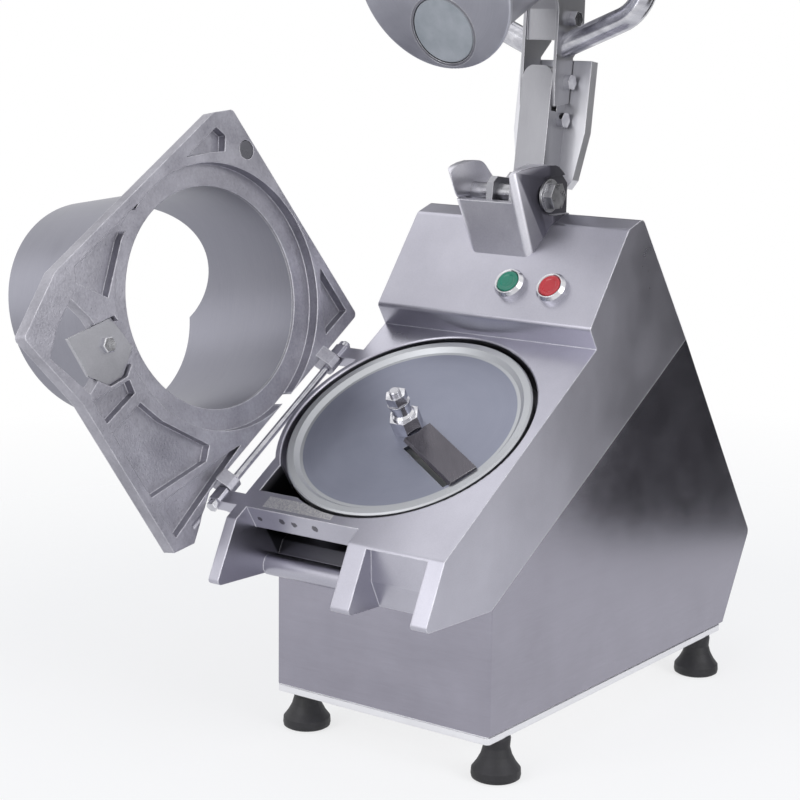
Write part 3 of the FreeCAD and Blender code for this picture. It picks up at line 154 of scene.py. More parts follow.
# %% Shape a value
def spread(tree, value, low, high, low_to=0.0, high_to=1.0):
    node = add(tree, "ShaderNodeMapRange", {"Value": value, "From Min": low, "From Max": high,
                                            "To Min": low_to, "To Max": high_to})
    return node.outputs["Result"]


def window(tree, value, rise, fall):
    return maths(tree, "MULTIPLY", spread(tree, value, *rise), spread(tree, value, *fall))


def weighed(tree, *shares):
    total = 0.0
    for value, share in shares:
        total = maths(tree, "ADD", maths(tree, "MULTIPLY", value, share), total)
    return total


print("helpers", spread.__name__, window.__name__, weighed.__name__)

# %% [markdown]
# ## Colours
# A tone is easiest to give as it is read off a screen, from 0 to 255. Blender works in light
# values, where the screen's mid grey is only about a fifth of white, so a helper turns one
# into the other. A second helper lays one tone over another by a mask.

# %% Tones
def tint(red, green, blue):
    def light(value):
        value = value / 255
        return value / 12.92 if value <= 0.04045 else ((value + 0.055) / 1.055) ** 2.4
    return (light(red), light(green), light(blue), 1.0)


def mix_tones(tree, mask, under, over):
    return add(tree, "ShaderNodeMix", {0: mask, 6: under, 7: over}, data_type="RGBA").outputs[2]


print("mid grey as light", [round(v, 3) for v in tint(128, 128, 128)])

# %% [markdown]
# ## Background
# The photograph has a plain white background. Strong lamps could bleach a grey wall to white,
# but they would bleach the machine too. Here the world itself is white, but only for the rays
# that come straight from the camera, from a mirror or through glass. For all other rays it is
# a dimmer, slightly blue grey, which lights the machine evenly from all round.

# %% World
def background_rays(tree):
    rays = add(tree, "ShaderNodeLightPath").outputs
    seen = maths(tree, "MAXIMUM", rays["Is Camera Ray"], rays["Is Glossy Ray"])
    return maths(tree, "MAXIMUM", seen, rays["Is Transmission Ray"])


world = bpy.data.worlds.new("white_studio")
bpy.context.scene.world = world
world.use_nodes = True
tree = world.node_tree
tree.nodes.clear()
soft_fill = add(tree, "ShaderNodeBackground", {"Color": (0.86, 0.9, 1.0, 1), "Strength": 0.62})
white_wall = add(tree, "ShaderNodeBackground", {"Color": (1, 1, 1, 1), "Strength": 1.0})
chosen = add(tree, "ShaderNodeMixShader", {0: background_rays(tree), 1: soft_fill.outputs[0],
                                           2: white_wall.outputs[0]})
add(tree, "ShaderNodeOutputWorld", {"Surface": chosen.outputs[0]})
print("world", world.name)

# %% [markdown]
# ## Floor
# The floor only has to catch the shadows of the feet. A large square sheet would do that, but
# its far edge would show as a horizon. So it is a pale disc that grows clear further out. Like
# the world it turns nearly white for the camera and for mirrors, and the rest of it stays a
# pale diffuse surface that keeps the shadows.

# %% Floor disc
floor_radius = 3.0
floor_points = 96
below_feet = 0.0004
floor_mesh = bpy.data.meshes.new("studio_floor")
floor_rim = []
for i in range(floor_points):
    turn = math.tau * i / floor_points
    floor_rim.append((floor_radius * math.cos(turn), floor_radius * math.sin(turn), 0))
floor_mesh.from_pydata(floor_rim, [], [list(range(floor_points))])
floor = bpy.data.objects.new("studio_floor", floor_mesh)
floor.location = middle - Vector((0, 0, below_feet))
bpy.context.scene.collection.objects.link(floor)
print("floor radius", floor_radius)

# %% Floor paint
white_share = 0.7
clear_from, clear_to = 0.55, 1.5
floor_paint = bpy.data.materials.new("floor_paint")
floor_paint.use_nodes = True
tree = floor_paint.node_tree
tree.nodes.clear()
place = add(tree, "ShaderNodeTexCoord").outputs["Object"]
away = add(tree, "ShaderNodeVectorMath", {0: place}, operation="LENGTH").outputs["Value"]
pale = add(tree, "ShaderNodeBsdfDiffuse", {"Color": (0.93, 0.93, 0.93, 1), "Roughness": 0.5})
white_paper = add(tree, "ShaderNodeEmission", {"Color": (1, 1, 1, 1), "Strength": 1.0})
whitened = maths(tree, "MULTIPLY", background_rays(tree), white_share)
paper = add(tree, "ShaderNodeMixShader", {0: whitened, 1: pale.outputs[0], 2: white_paper.outputs[0]})
clear = add(tree, "ShaderNodeBsdfTransparent")
fade = spread(tree, away, clear_from, clear_to)
floor_mix = add(tree, "ShaderNodeMixShader", {0: fade, 1: paper.outputs[0], 2: clear.outputs[0]})
add(tree, "ShaderNodeOutputMaterial", {"Surface": floor_mix.outputs[0]})
floor_mesh.materials.append(floor_paint)
print("floor clears from", clear_from, "to", clear_to)

# %% [markdown]
# ## Lamps
# One small lamp would light the machine, but with hard shadows and specks of glare. Four soft
# boxes make plain studio light instead. The key stands in front, a little to the left, and a
# box of about the same strength stands at the right. A weak one hangs above the left, where
# the sloping table mirrors it, and another weak one stands at the left. Big lamps give soft
# edges to the light, which is what makes satin metal look satin.

# %% Soft boxes
def soft_box(name, spot, aim, size, power):
    lamp = bpy.data.lights.new(name, "AREA")
    lamp.shape = "RECTANGLE"
    lamp.size = size
    lamp.size_y = size
    lamp.energy = power
    holder = bpy.data.objects.new(name, lamp)
    facing = (Vector(aim) - Vector(spot)).to_track_quat("-Z", "Y")
    holder.matrix_world = Matrix.Translation(middle + Vector(spot)) @ facing.to_matrix().to_4x4()
    bpy.context.scene.collection.objects.link(holder)
    print(name, "watts", power)


lamp_aim = (0, 0, 0.35)
soft_box("key_box", (-0.5, -2.5, 1.25), lamp_aim, 1.5, 16)
soft_box("top_box", (-0.95, 0.25, 2.1), lamp_aim, 1.9, 4)
soft_box("left_box", (-2.3, -0.9, 0.7), lamp_aim, 1.2, 3)
soft_box("right_box", (2.2, -0.3, 1.0), lamp_aim, 1.2, 18)

# %% [markdown]
# ## Dark cards
# In an all-white room polished metal looks like paper, because it has nothing dark to mirror.
# The metal could be painted darker in places, but then the dark would stay put when the
# machine turns. Photographers stand black cards just outside the picture, and so does this
# scene: one close behind the right side, one further out at the right, and one far back at
# the left. Only mirror-like rays see them. They draw the dark fall-off along the right side
# and the dark lines in tubes and nuts, and cast no shadow on anything.

# %% Cards that only shiny metal sees
def dark_card(name, spot, aim, width, height, tone):
    x = width / 2
    y = height / 2
    sheet = bpy.data.meshes.new(name)
    sheet.from_pydata([(-x, -y, 0), (x, -y, 0), (x, y, 0), (-x, y, 0)], [], [(0, 1, 2, 3)])
    card = bpy.data.objects.new(name, sheet)
    facing = (Vector(aim) - Vector(spot)).to_track_quat("Z", "Y")
    card.matrix_world = Matrix.Translation(middle + Vector(spot)) @ facing.to_matrix().to_4x4()
    card.visible_camera = False
    card.visible_diffuse = False
    card.visible_shadow = False
    card.visible_transmission = False
    paint = bpy.data.materials.new(name + "_paint")
    paint.use_nodes = True
    tree = paint.node_tree
    tree.nodes.clear()
    slate = (tone, tone, tone * 1.1, 1)
    glow = add(tree, "ShaderNodeEmission", {"Color": slate, "Strength": 1.0})
    add(tree, "ShaderNodeOutputMaterial", {"Surface": glow.outputs[0]})
    sheet.materials.append(paint)
    bpy.context.scene.collection.objects.link(card)
    print(name, "at", [round(v, 2) for v in spot])


dark_card("back_card", (0.408, 0.637, 0.36), (-0.319, -0.051, 0.36), 0.32, 0.76, 0.03)
dark_card("side_card", (1.30, 0.30, 0.25), (0.1, 0.18, 0.47), 0.9, 0.7, 0.02)
dark_card("left_card", (-1.05, 1.75, 1.0), (0, 0.1, 0.45), 1.5, 2.4, 0.12)

# %% [markdown]
# ## Shared effect: brushed lines
# Brushed steel is scratched by a belt that runs one way, so its lines are very long and very
# thin. A picture of scratches could be laid on, but it would repeat and blur close up. Noise
# that is squeezed in one direction gives the same lines at any size. The squeezing is done by
# the material, because each sheet was brushed in its own direction; the group only turns the
# squeezed place into lines of two widths.

# %% Brushed lines group
def new_group(name, inputs, outputs):
    group = bpy.data.node_groups.new(name, "ShaderNodeTree")
    for label, kind, value in inputs:
        socket = group.interface.new_socket(name=label, in_out="INPUT", socket_type=kind)
        if value is not None:
            socket.default_value = value
    for label, kind in outputs:
        group.interface.new_socket(name=label, in_out="OUTPUT", socket_type=kind)
    print("group", name)
    return group, add(group, "NodeGroupInput").outputs, add(group, "NodeGroupOutput").inputs


brushed_lines, given, result = new_group(
    "brushed_lines",
    [("Place", "NodeSocketVector", None), ("Fineness", "NodeSocketFloat", 900.0)],
    [("Lines", "NodeSocketFloat"), ("Broad", "NodeSocketFloat")])
fine = add(brushed_lines, "ShaderNodeTexNoise", {
    "Vector": given["Place"], "Scale": given["Fineness"], "Detail": 3.0, "Roughness": 0.7})
wide_scale = maths(brushed_lines, "MULTIPLY", given["Fineness"], 0.09)
wide = add(brushed_lines, "ShaderNodeTexNoise", {
    "Vector": given["Place"], "Scale": wide_scale, "Detail": 2.0, "Roughness": 0.5})
brushed_lines.links.new(fine.outputs["Fac"], result["Lines"])
brushed_lines.links.new(wide.outputs["Fac"], result["Broad"])

# %% [markdown]
# ## Shared effect: cast skin
# A casting takes the skin of its mould: fine grains all over, soft patches where the metal
# cooled at another rate, and here and there a small pit. Grains cut into the mesh would take
# millions of faces. The group mixes three sizes of texture instead, and puts out the patches
# for colour and the grains for relief.

# %% Cast skin group
cast_skin, given, result = new_group(
    "cast_skin",
    [("Place", "NodeSocketVector", None), ("Grain", "NodeSocketFloat", 520.0),
     ("Patch", "NodeSocketFloat", 16.0)],
    [("Patches", "NodeSocketFloat"), ("Grains", "NodeSocketFloat")])
patches = add(cast_skin, "ShaderNodeTexNoise", {
    "Vector": given["Place"], "Scale": given["Patch"], "Detail": 5.0, "Roughness": 0.6})
grains = add(cast_skin, "ShaderNodeTexNoise", {
    "Vector": given["Place"], "Scale": given["Grain"], "Detail": 3.0, "Roughness": 0.6})
pit_scale = maths(cast_skin, "MULTIPLY", given["Grain"], 0.55)
pits = add(cast_skin, "ShaderNodeTexVoronoi", {"Vector": given["Place"], "Scale": pit_scale})
pit_depth = spread(cast_skin, pits.outputs["Distance"], 0.0, 0.22)
relief = maths(cast_skin, "MULTIPLY", grains.outputs["Fac"], pit_depth)
cast_skin.links.new(patches.outputs["Fac"], result["Patches"])
cast_skin.links.new(relief, result["Grains"])

# %% [markdown]
# ## Shared effect: softened and worn edges
# No real edge is perfectly sharp. A rounded edge turns the light through a narrow bright line,
# and handling polishes it. Bevels in the mesh could do it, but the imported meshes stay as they
# are. The bevel node gives the normal that a rounded edge would have. Where it differs from
# the flat normal there is an edge, and that difference is the mask for the polish.

# %% Worn edge group
worn_edge, given, result = new_group(
    "worn_edge",
    [("Radius", "NodeSocketFloat", 0.0008), ("Place", "NodeSocketVector", None)],
    [("Edge", "NodeSocketFloat"), ("Normal", "NodeSocketVector")])
rounding = add(worn_edge, "ShaderNodeBevel", {"Radius": given["Radius"]}, samples=4).outputs[0]
flat = add(worn_edge, "ShaderNodeNewGeometry").outputs["Normal"]
agree = add(worn_edge, "ShaderNodeVectorMath", {0: rounding, 1: flat}, operation="DOT_PRODUCT")
differs = spread(worn_edge, agree.outputs["Value"], 0.995, 0.85)
patchy = add(worn_edge, "ShaderNodeTexNoise", {"Vector": given["Place"], "Scale": 120.0, "Detail": 2.0})
patchy = spread(worn_edge, patchy.outputs["Fac"], 0.3, 0.65, 0.35, 1.0)
worn_edge.links.new(maths(worn_edge, "MULTIPLY", differs, patchy), result["Edge"])
worn_edge.links.new(rounding, result["Normal"])

# %% [markdown]
# ## Shared effect: wipe marks
# A kitchen machine is wiped down every day. The cloth leaves faint curved smears that change
# the gloss more than the colour. Plain noise looks like clouds, and a drawn stroke would
# repeat. A noise that is bent by a second noise looks like the swing of a cloth.

# %% Wipe marks group
cloth_swing = 0.09
wipe_marks, given, result = new_group(
    "wipe_marks", [("Place", "NodeSocketVector", None)], [("Marks", "NodeSocketFloat")])
bend = add(wipe_marks, "ShaderNodeTexNoise", {"Vector": given["Place"], "Scale": 5.0, "Detail": 2.0})
bent = add(wipe_marks, "ShaderNodeVectorMath", {
    0: bend.outputs["Color"], 1: (cloth_swing, cloth_swing, cloth_swing)}, operation="MULTIPLY")
bent = add(wipe_marks, "ShaderNodeVectorMath", {0: bent.outputs[0], 1: given["Place"]}, operation="ADD")
smear = add(wipe_marks, "ShaderNodeTexNoise", {
    "Vector": bent.outputs[0], "Scale": 14.0, "Detail": 6.0, "Roughness": 0.55})
wipe_marks.links.new(spread(wipe_marks, smear.outputs["Fac"], 0.3, 0.7), result["Marks"])

# %% [markdown]
# ## Shared effect: turned rings
# A lathe leaves fine rings round its axis. The wave texture can draw rings too, but all of one
# width. Here the material moves the place so that the axis stands upright through the origin,
# and the group feeds the distance from that axis to one-dimensional noise, which gives rings
# of uneven strength. The distance itself is put out as well, for a rim of another tone.

# %% Turned rings group
turned_rings, given, result = new_group(
    "turned_rings",
    [("Place", "NodeSocketVector", None), ("Fineness", "NodeSocketFloat", 1500.0)],
    [("Rings", "NodeSocketFloat"), ("Bands", "NodeSocketFloat"), ("Reach", "NodeSocketFloat")])
flat_place = add(turned_rings, "ShaderNodeVectorMath", {0: given["Place"], 1: (1, 1, 0)},
                 operation="MULTIPLY").outputs[0]
reach = add(turned_rings, "ShaderNodeVectorMath", {0: flat_place}, operation="LENGTH").outputs["Value"]
rings = add(turned_rings, "ShaderNodeTexNoise", {
    "W": reach, "Scale": given["Fineness"], "Detail": 2.0}, noise_dimensions="1D")
bands = add(turned_rings, "ShaderNodeTexNoise", {
    "W": reach, "Scale": 90.0, "Detail": 3.0}, noise_dimensions="1D")
turned_rings.links.new(rings.outputs["Fac"], result["Rings"])
turned_rings.links.new(bands.outputs["Fac"], result["Bands"])
turned_rings.links.new(reach, result["Reach"])

# %% [markdown]
# ## Building a finish
# Every material starts from one shader, which stays in the material itself. The helpers below
# add what most of them share: the place on the piece, turned and squeezed where needed, two
# tones blended by a mask under a brighter worn edge, and relief on top of softened edges.

# %% Start a material and place its effects
def start(name, metallic):
    material = bpy.data.materials.new(name)
    material.use_nodes = True
    tree = material.node_tree
    tree.nodes.clear()
    shader = add(tree, "ShaderNodeBsdfPrincipled")
    shader.inputs["Metallic"].default_value = metallic
    shader.inputs["Specular IOR Level"].default_value = 0.5
    add(tree, "ShaderNodeOutputMaterial", {"Surface": shader.outputs[0]})
    return material, tree, shader


def use(tree, group, **inputs):
    return add(tree, "ShaderNodeGroup", inputs, node_tree=group).outputs


def place_on(tree, centre=(0, 0, 0), turn=(0, 0, 0), squeeze=(1, 1, 1)):
    spot = add(tree, "ShaderNodeTexCoord").outputs["Object"]
    shifted = add(tree, "ShaderNodeVectorMath", {0: spot, 1: tuple(centre)}, operation="SUBTRACT")
    turned_spot = add(tree, "ShaderNodeMapping", {
        "Vector": shifted.outputs[0], "Rotation": turn}, vector_type="POINT")
    squeezed = add(tree, "ShaderNodeVectorMath", {
        0: turned_spot.outputs[0], 1: squeeze}, operation="MULTIPLY")
    return squeezed.outputs[0]


print("helpers", start.__name__, use.__name__, place_on.__name__)

# %% Tones, roughness and relief
def link_tones(tree, shader, mask, dark, light, edge, edge_tone):
    colour = mix_tones(tree, edge, mix_tones(tree, mask, dark, light), edge_tone)
    tree.links.new(colour, shader.inputs["Base Color"])


def overlay(tree, shader, mask, tone):
    colour = shader.inputs["Base Color"].links[0].from_socket
    tree.links.new(mix_tones(tree, mask, colour, tone), shader.inputs["Base Color"])


def roughen(tree, shader, value, low, high, rough):
    tree.links.new(spread(tree, value, low, high, *rough), shader.inputs["Roughness"])


def relief_on(tree, shader, height, depth, normal):
    bump = add(tree, "ShaderNodeBump", {
        "Strength": 1.0, "Distance": depth, "Height": height, "Normal": normal})
    tree.links.new(bump.outputs[0], shader.inputs["Normal"])


def finished_shader(material):
    tree = material.node_tree
    return tree, next(node for node in tree.nodes if node.type == "BSDF_PRINCIPLED")


print("helpers", link_tones.__name__, overlay.__name__, roughen.__name__, relief_on.__name__)

# %% [markdown]
# ## Brushed sheet steel
# The casing, the lever plates and the tubes are stainless sheet with a belt-brushed face. A
# plain grey metal would look like a mirror or like paint. The lines run level on the casing
# and along the length of the lever. Two close tones of grey carry them, roughness follows the
# wipe marks, and the edges are a little brighter.

# %% Brushed steel
def brushed_steel(name, dark, light, squeeze, turn=(0, 0, 0), centre=(0, 0, 0), fineness=900.0,
                  rough=(0.28, 0.38), edge=0.0007, line_depth=0.000008):
    material, tree, shader = start(name, 1.0)
    lines = use(tree, brushed_lines, Place=place_on(tree, centre, turn, squeeze), Fineness=fineness)
    plain = place_on(tree)
    marks = use(tree, wipe_marks, Place=plain)
    worn = use(tree, worn_edge, Radius=edge, Place=plain)
    grain = weighed(tree, (lines["Lines"], 0.5), (lines["Broad"], 0.1), (marks["Marks"], 0.3))
    link_tones(tree, shader, spread(tree, grain, 0.2, 0.8), dark, light, worn["Edge"], tint(222, 222, 226))
    gloss = weighed(tree, (marks["Marks"], 0.5), (lines["Lines"], 0.5))
    roughen(tree, shader, gloss, 0.2, 0.8, rough)
    relief_on(tree, shader, lines["Lines"], line_depth, worn["Normal"])
    return material


print("recipe", brushed_steel.__name__)

# %% [markdown]
# ## Cast aluminium
# The head, the saddle and the hopper plate are aluminium castings, blasted and lightly
# polished. Brushed lines would look wrong on them, because no belt reaches into their corners.
# The tone is even but for soft patches; grains and pits show when light grazes them, and ribs
# and corners that hands and knives touch are polished nearly white.

# %% Cast metal
def cast_aluminium(name, dark, light, rough=(0.38, 0.52), grain=520.0, patch=16.0, depth=0.00012,
                   edge=0.0014):
    material, tree, shader = start(name, 1.0)
    plain = place_on(tree)
    skin = use(tree, cast_skin, Place=plain, Grain=grain, Patch=patch)
    marks = use(tree, wipe_marks, Place=plain)
    worn = use(tree, worn_edge, Radius=edge, Place=plain)
    mask = weighed(tree, (skin["Patches"], 0.7), (skin["Grains"], 0.3))
    link_tones(tree, shader, spread(tree, mask, 0.3, 0.65), dark, light, worn["Edge"], tint(240, 240, 246))
    roughen(tree, shader, marks["Marks"], 0.0, 1.0, rough)
    relief_on(tree, shader, skin["Grains"], depth, worn["Normal"])
    return material


print("recipe", cast_aluminium.__name__)

# %% [markdown]
# ## Turned metal
# The disc, the pulleys, the shaft and the round parts of the hub were made on a lathe, so
# their rings follow the axis that they turn about. Where the rings are fine enough to bend the
# light, the shader is made anisotropic: it then smears highlights across the rings, which no
# bump could do. The tangent that it needs is the way round the axis at each point.

# %% Lathe work
def turned_metal(name, dark, light, centre, turn, rough=(0.24, 0.34), fineness=1500.0, anisotropy=0.0,
                 axis=None, edge=0.0006, depth=0.000006, rim=None, rim_highlight_tone=None, rim_blur=0.0004):
    material, tree, shader = start(name, 1.0)
    plain = place_on(tree)
    rings = use(tree, turned_rings, Place=place_on(tree, centre, turn), Fineness=fineness)
    marks = use(tree, wipe_marks, Place=plain)
    worn = use(tree, worn_edge, Radius=edge, Place=plain)
    mask = weighed(tree, (rings["Rings"], 0.4), (marks["Marks"], 0.6), (rings["Bands"], 0.2))
    link_tones(tree, shader, spread(tree, mask, 0.3, 0.9), dark, light, worn["Edge"], tint(228, 228, 232))
    # The rim tone is a painted highlight along a bevelled rim; only the disc uses it.
    if rim:
        overlay(tree, shader, spread(tree, rings["Reach"], rim - rim_blur, rim + rim_blur), rim_highlight_tone)
    roughen(tree, shader, marks["Marks"], 0.0, 1.0, rough)
    relief_on(tree, shader, rings["Rings"], depth, worn["Normal"])
    if anisotropy:
        shader.inputs["Anisotropic"].default_value = anisotropy
        spot = add(tree, "ShaderNodeTexCoord").outputs["Object"]
        arm = add(tree, "ShaderNodeVectorMath", {0: spot, 1: tuple(centre)}, operation="SUBTRACT")
        round_way = add(tree, "ShaderNodeVectorMath", {0: tuple(axis), 1: arm.outputs[0]},
                        operation="CROSS_PRODUCT")
        tree.links.new(round_way.outputs[0], shader.inputs["Tangent"])
    return material


print("recipe", turned_metal.__name__)

# %% [markdown]
# ## Bright steel
# Bolts, nuts, pins and the hinge rod are plain bright steel. They are nearly mirrors, and a
# perfect mirror would look like water. Fine scratches in every direction and a film of
# handling dull them just enough.

# %% Bright metal
def bright_steel(name, dark, light, rough=(0.14, 0.3), edge=0.0005):
    material, tree, shader = start(name, 1.0)
    scratch_place = place_on(tree, turn=(0.5, 0.3, 0.7), squeeze=(1, 0.12, 1))
    scratches = use(tree, brushed_lines, Place=scratch_place, Fineness=1400.0)
    marks = use(tree, wipe_marks, Place=place_on(tree, squeeze=(6, 6, 6)))
    worn = use(tree, worn_edge, Radius=edge, Place=place_on(tree))
    link_tones(tree, shader, spread(tree, scratches["Broad"], 0.3, 0.7), dark, light,
               worn["Edge"], tint(235, 235, 238))
    film = weighed(tree, (marks["Marks"], 0.6), (scratches["Lines"], 0.4))
    roughen(tree, shader, film, 0.2, 0.8, rough)
    relief_on(tree, shader, scratches["Lines"], 0.000015, worn["Normal"])
    return material


print("recipe", bright_steel.__name__)

# %% [markdown]
# ## Plastic, rubber and paint
# Moulded plastic has a faint eggshell skin from its mould. Rubber is rougher, greyed by dust
# on its top faces. Painted iron has a slight orange peel. Three recipes could be written, but
# all of them come down to two tones, a roughness range and a relief of a given size.

# %% Moulded and painted skins
def moulded(name, dark, light, rough, grain=900.0, depth=0.00003, edge=0.0006, dust=0.0, coat=0.0,
            edge_tone=None):
    material, tree, shader = start(name, 0.0)
    plain = place_on(tree)
    skin = use(tree, cast_skin, Place=plain, Grain=grain, Patch=40.0)
    marks = use(tree, wipe_marks, Place=plain)
    worn = use(tree, worn_edge, Radius=edge, Place=plain)
    mask = spread(tree, skin["Patches"], 0.3, 0.7)
    if dust:
        normal = add(tree, "ShaderNodeNewGeometry").outputs["Normal"]
        upward = add(tree, "ShaderNodeSeparateXYZ", {0: normal}).outputs["Z"]
        settled = maths(tree, "MULTIPLY", spread(tree, upward, 0.1, 0.9), marks["Marks"])
        mask = maths(tree, "ADD", mask, maths(tree, "MULTIPLY", settled, dust), clamp=True)
    link_tones(tree, shader, mask, dark, light, worn["Edge"], edge_tone or light)
    roughen(tree, shader, marks["Marks"], 0.0, 1.0, rough)
    shader.inputs["Coat Weight"].default_value = coat
    relief_on(tree, shader, skin["Grains"], depth, worn["Normal"])
    return material


print("recipe", moulded.__name__)

# %% [markdown]
# ## Casing and base
# The casing is one folded sheet, brushed level all round, so its lines are squeezed in both level
# directions. The tray under it is the same steel, given a lighter tone as a painted reflection of the white
# floor that it mirrors. The feet are black rubber on plain steel studs. The imported pieces have the right
# shape, so each only gets a material in its slots.

# %% Dress the casing and the base
def wear(node, material):
    piece = frame["nodes"][node]
    for slot in piece.material_slots:
        slot.material = material
    print(node, "<-", material.name)


level_lines = (0.02, 0.02, 1.0)
wear("lower_casing", brushed_steel("casing_steel", tint(148, 146, 157), tint(166, 164, 176), level_lines,
                                   fineness=2600.0, rough=(0.18, 0.26)))
# The tray's lighter tone is a painted reflection of the white floor.
wear("base_tray", brushed_steel("tray_steel", tint(228, 228, 232), tint(244, 244, 248), level_lines,
                                fineness=2600.0))
wear("rubber_feet", moulded("foot_rubber", tint(20, 20, 22), tint(42, 41, 45), (0.45, 0.65),
                            grain=700.0, depth=0.00008, dust=0.6))
plain_steel = bright_steel("plain_steel", tint(150, 150, 154), tint(196, 196, 200), (0.22, 0.4))
wear("foot_studs", plain_steel)
wear("plate_pillars", plain_steel)

# %% [markdown]
# ## Cast head and hopper plate
# Both are castings, but each was finished a little differently: the head is blasted and
# polished to a fine satin, and the hopper plate keeps more grain because its pockets can't be
# polished. One recipe serves both, with its own grain and depth for each.

# %% Dress the head and the hopper plate
head_casting = cast_aluminium("head_casting", tint(170, 169, 180), tint(190, 189, 200),
                              (0.27, 0.36), grain=900.0, patch=9.0, depth=0.000012)
wear("cast_head", head_casting)
wear("hopper_plate", cast_aluminium("plate_casting", tint(136, 135, 144), tint(176, 175, 184),
                                    grain=430.0, patch=26.0, depth=0.0002))

# %% [markdown]
# ## Painted shade in the head's recess
# The photograph shows the inside of the recess under the disc nearly black, where it lies in shade under
# the disc, and that shade is painted onto the head here. A second material on its faces would do, but the
# imported mesh has one slot. So the painted shade is laid over the head's tone by a mask: a window in each
# direction of the sloping table, X to the right, Y up the slope and Z square to it, all measured from the
# disc's middle.

# %% Painted shade inside the recess
tree, shader = finished_shader(head_casting)
on_table = place_on(tree, disc_centre, (-table_tilt, 0, 0))
table_x, table_y, table_z = add(tree, "ShaderNodeSeparateXYZ", {0: on_table}).outputs
recess_left = (-0.0965, -0.0955)
recess_right = (0.1209, 0.1199)
recess_shade_cover = 0.85
recess = window(tree, table_x, recess_left, recess_right)
recess = maths(tree, "MULTIPLY", recess, window(tree, table_y, (-0.1200, -0.1180), (0.1190, 0.1180)))
recess = maths(tree, "MULTIPLY", recess, spread(tree, table_z, -0.003, -0.010))
# The dark tone laid over the recess is painted shade.
overlay(tree, shader, maths(tree, "MULTIPLY", recess, recess_shade_cover), tint(30, 30, 34))
print("recess width, mm", round((recess_right[0] - recess_left[0]) * 1000, 1))

# %% [markdown]
# ## Casting marks on the ledge
# Below the disc the ledge has a light strip that was left rough, and its front has four small
# dark marks from the mould. They are too shallow to be worth a cut in the solid. The strip is
# another window, sanded by noise. Each mark is a spot round a given point, and a fine noise
# makes its outline uneven.

# %% Light rough strip
on_head = place_on(tree)
strip_left = (-0.0768, -0.0762)
strip_right = (-0.0015, -0.0025)
strip = window(tree, table_x, strip_left, strip_right)
strip = maths(tree, "MULTIPLY", strip, window(tree, table_y, (-0.1248, -0.1242), (-0.1112, -0.1118)))
strip = maths(tree, "MULTIPLY", strip, spread(tree, table_z, -0.002, -0.001))
sand = add(tree, "ShaderNodeTexNoise", {"Vector": on_head, "Scale": 700.0, "Detail": 3.0}).outputs["Fac"]
sanded = maths(tree, "MULTIPLY", strip, spread(tree, sand, 0.35, 0.65, 0.35, 1.0))
overlay(tree, shader, sanded, tint(246, 245, 242))
print("strip length, mm", round((strip_right[0] - strip_left[0]) * 1000, 1))

# %% Dark marks from the mould
mark_cover = 0.85
mark_spots = [((0.0095, -0.0776, 0.2112), 0.0024), ((0.0350, -0.0787, 0.2129), 0.0030),
              ((0.0480, -0.0783, 0.2123), 0.0028), ((0.0711, -0.0785, 0.2126), 0.0034)]
uneven = add(tree, "ShaderNodeTexNoise", {"Vector": on_head, "Scale": 420.0, "Detail": 2.0}).outputs["Fac"]
uneven = maths(tree, "MULTIPLY", maths(tree, "SUBTRACT", uneven, 0.5), 0.003)
marked = 0.0
for spot, size in mark_spots:
    apart = add(tree, "ShaderNodeVectorMath", {0: on_head, 1: spot}, operation="DISTANCE").outputs["Value"]
    apart = maths(tree, "ADD", apart, uneven)
    marked = maths(tree, "MAXIMUM", marked, spread(tree, apart, size + 0.0005, size - 0.0004))
overlay(tree, shader, maths(tree, "MULTIPLY", marked, mark_cover), tint(72, 70, 76))
print("casting marks", len(mark_spots))

# %% [markdown]
# ## Saddle casting and its painted shade
# The saddle is a lighter and rougher casting. Its right side faces a lamp and would mirror it as plain
# white, while the photograph shows that side dull and dark. Turning the lamp away would darken the whole
# machine. So shade is painted onto that side: a mask picks the faces that look to the right, and only those
# right of the pivot, because the left ear's inner face looks to the right too and is light in the
# photograph. On those faces a dark painted shade is laid over the colour, and the roughness goes up a
# little.

# %% Saddle finish and painted shade on its right side
pivot = Vector(joint["lever_pivot"]["pos_m"])
saddle_casting = cast_aluminium("saddle_casting", tint(204, 203, 212), tint(224, 223, 230), (0.3, 0.42))
tree, shader = finished_shader(saddle_casting)
saddle_rough = shader.inputs["Roughness"].links[0].from_socket
coordinates = add(tree, "ShaderNodeTexCoord").outputs
facing = add(tree, "ShaderNodeSeparateXYZ", {0: coordinates["Normal"]}).outputs["X"]
across = add(tree, "ShaderNodeSeparateXYZ", {0: coordinates["Object"]}).outputs["X"]
right_part = spread(tree, across, pivot.x + 0.020, pivot.x + 0.024)
# The dark tone on the right-facing side is painted shade.
painted_shade_side = maths(tree, "MULTIPLY", spread(tree, facing, 0.74, 0.9), right_part)
overlay(tree, shader, painted_shade_side, tint(66, 65, 73))
dull_rough = maths(tree, "ADD", saddle_rough, maths(tree, "MULTIPLY", painted_shade_side, 0.15))
tree.links.new(dull_rough, shader.inputs["Roughness"])
wear("saddle_bracket", saddle_casting)

# %% [markdown]
# ## The flared saddle
# On the real machine the saddle opens like a tulip: it is narrow where it stands on the ridge
# and spreads into two ears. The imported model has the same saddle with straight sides, so it is
# replaced here. It could be sculpted from a box, but a pattern maker's way keeps every size:
# a tapered block with round corners first, and then prisms take away the slot for the lever,
# the space above the ears and the scoop in which the bolt head lies. All places are measured
# from the pivot that the lever turns on.

# %% Arcs and round corners
def arc(centre, radius, first, last, steps):
    turns = [math.radians(first + (last - first) * i / steps) for i in range(steps + 1)]
    return [(centre[0] + radius * math.cos(t), centre[1] + radius * math.sin(t)) for t in turns]


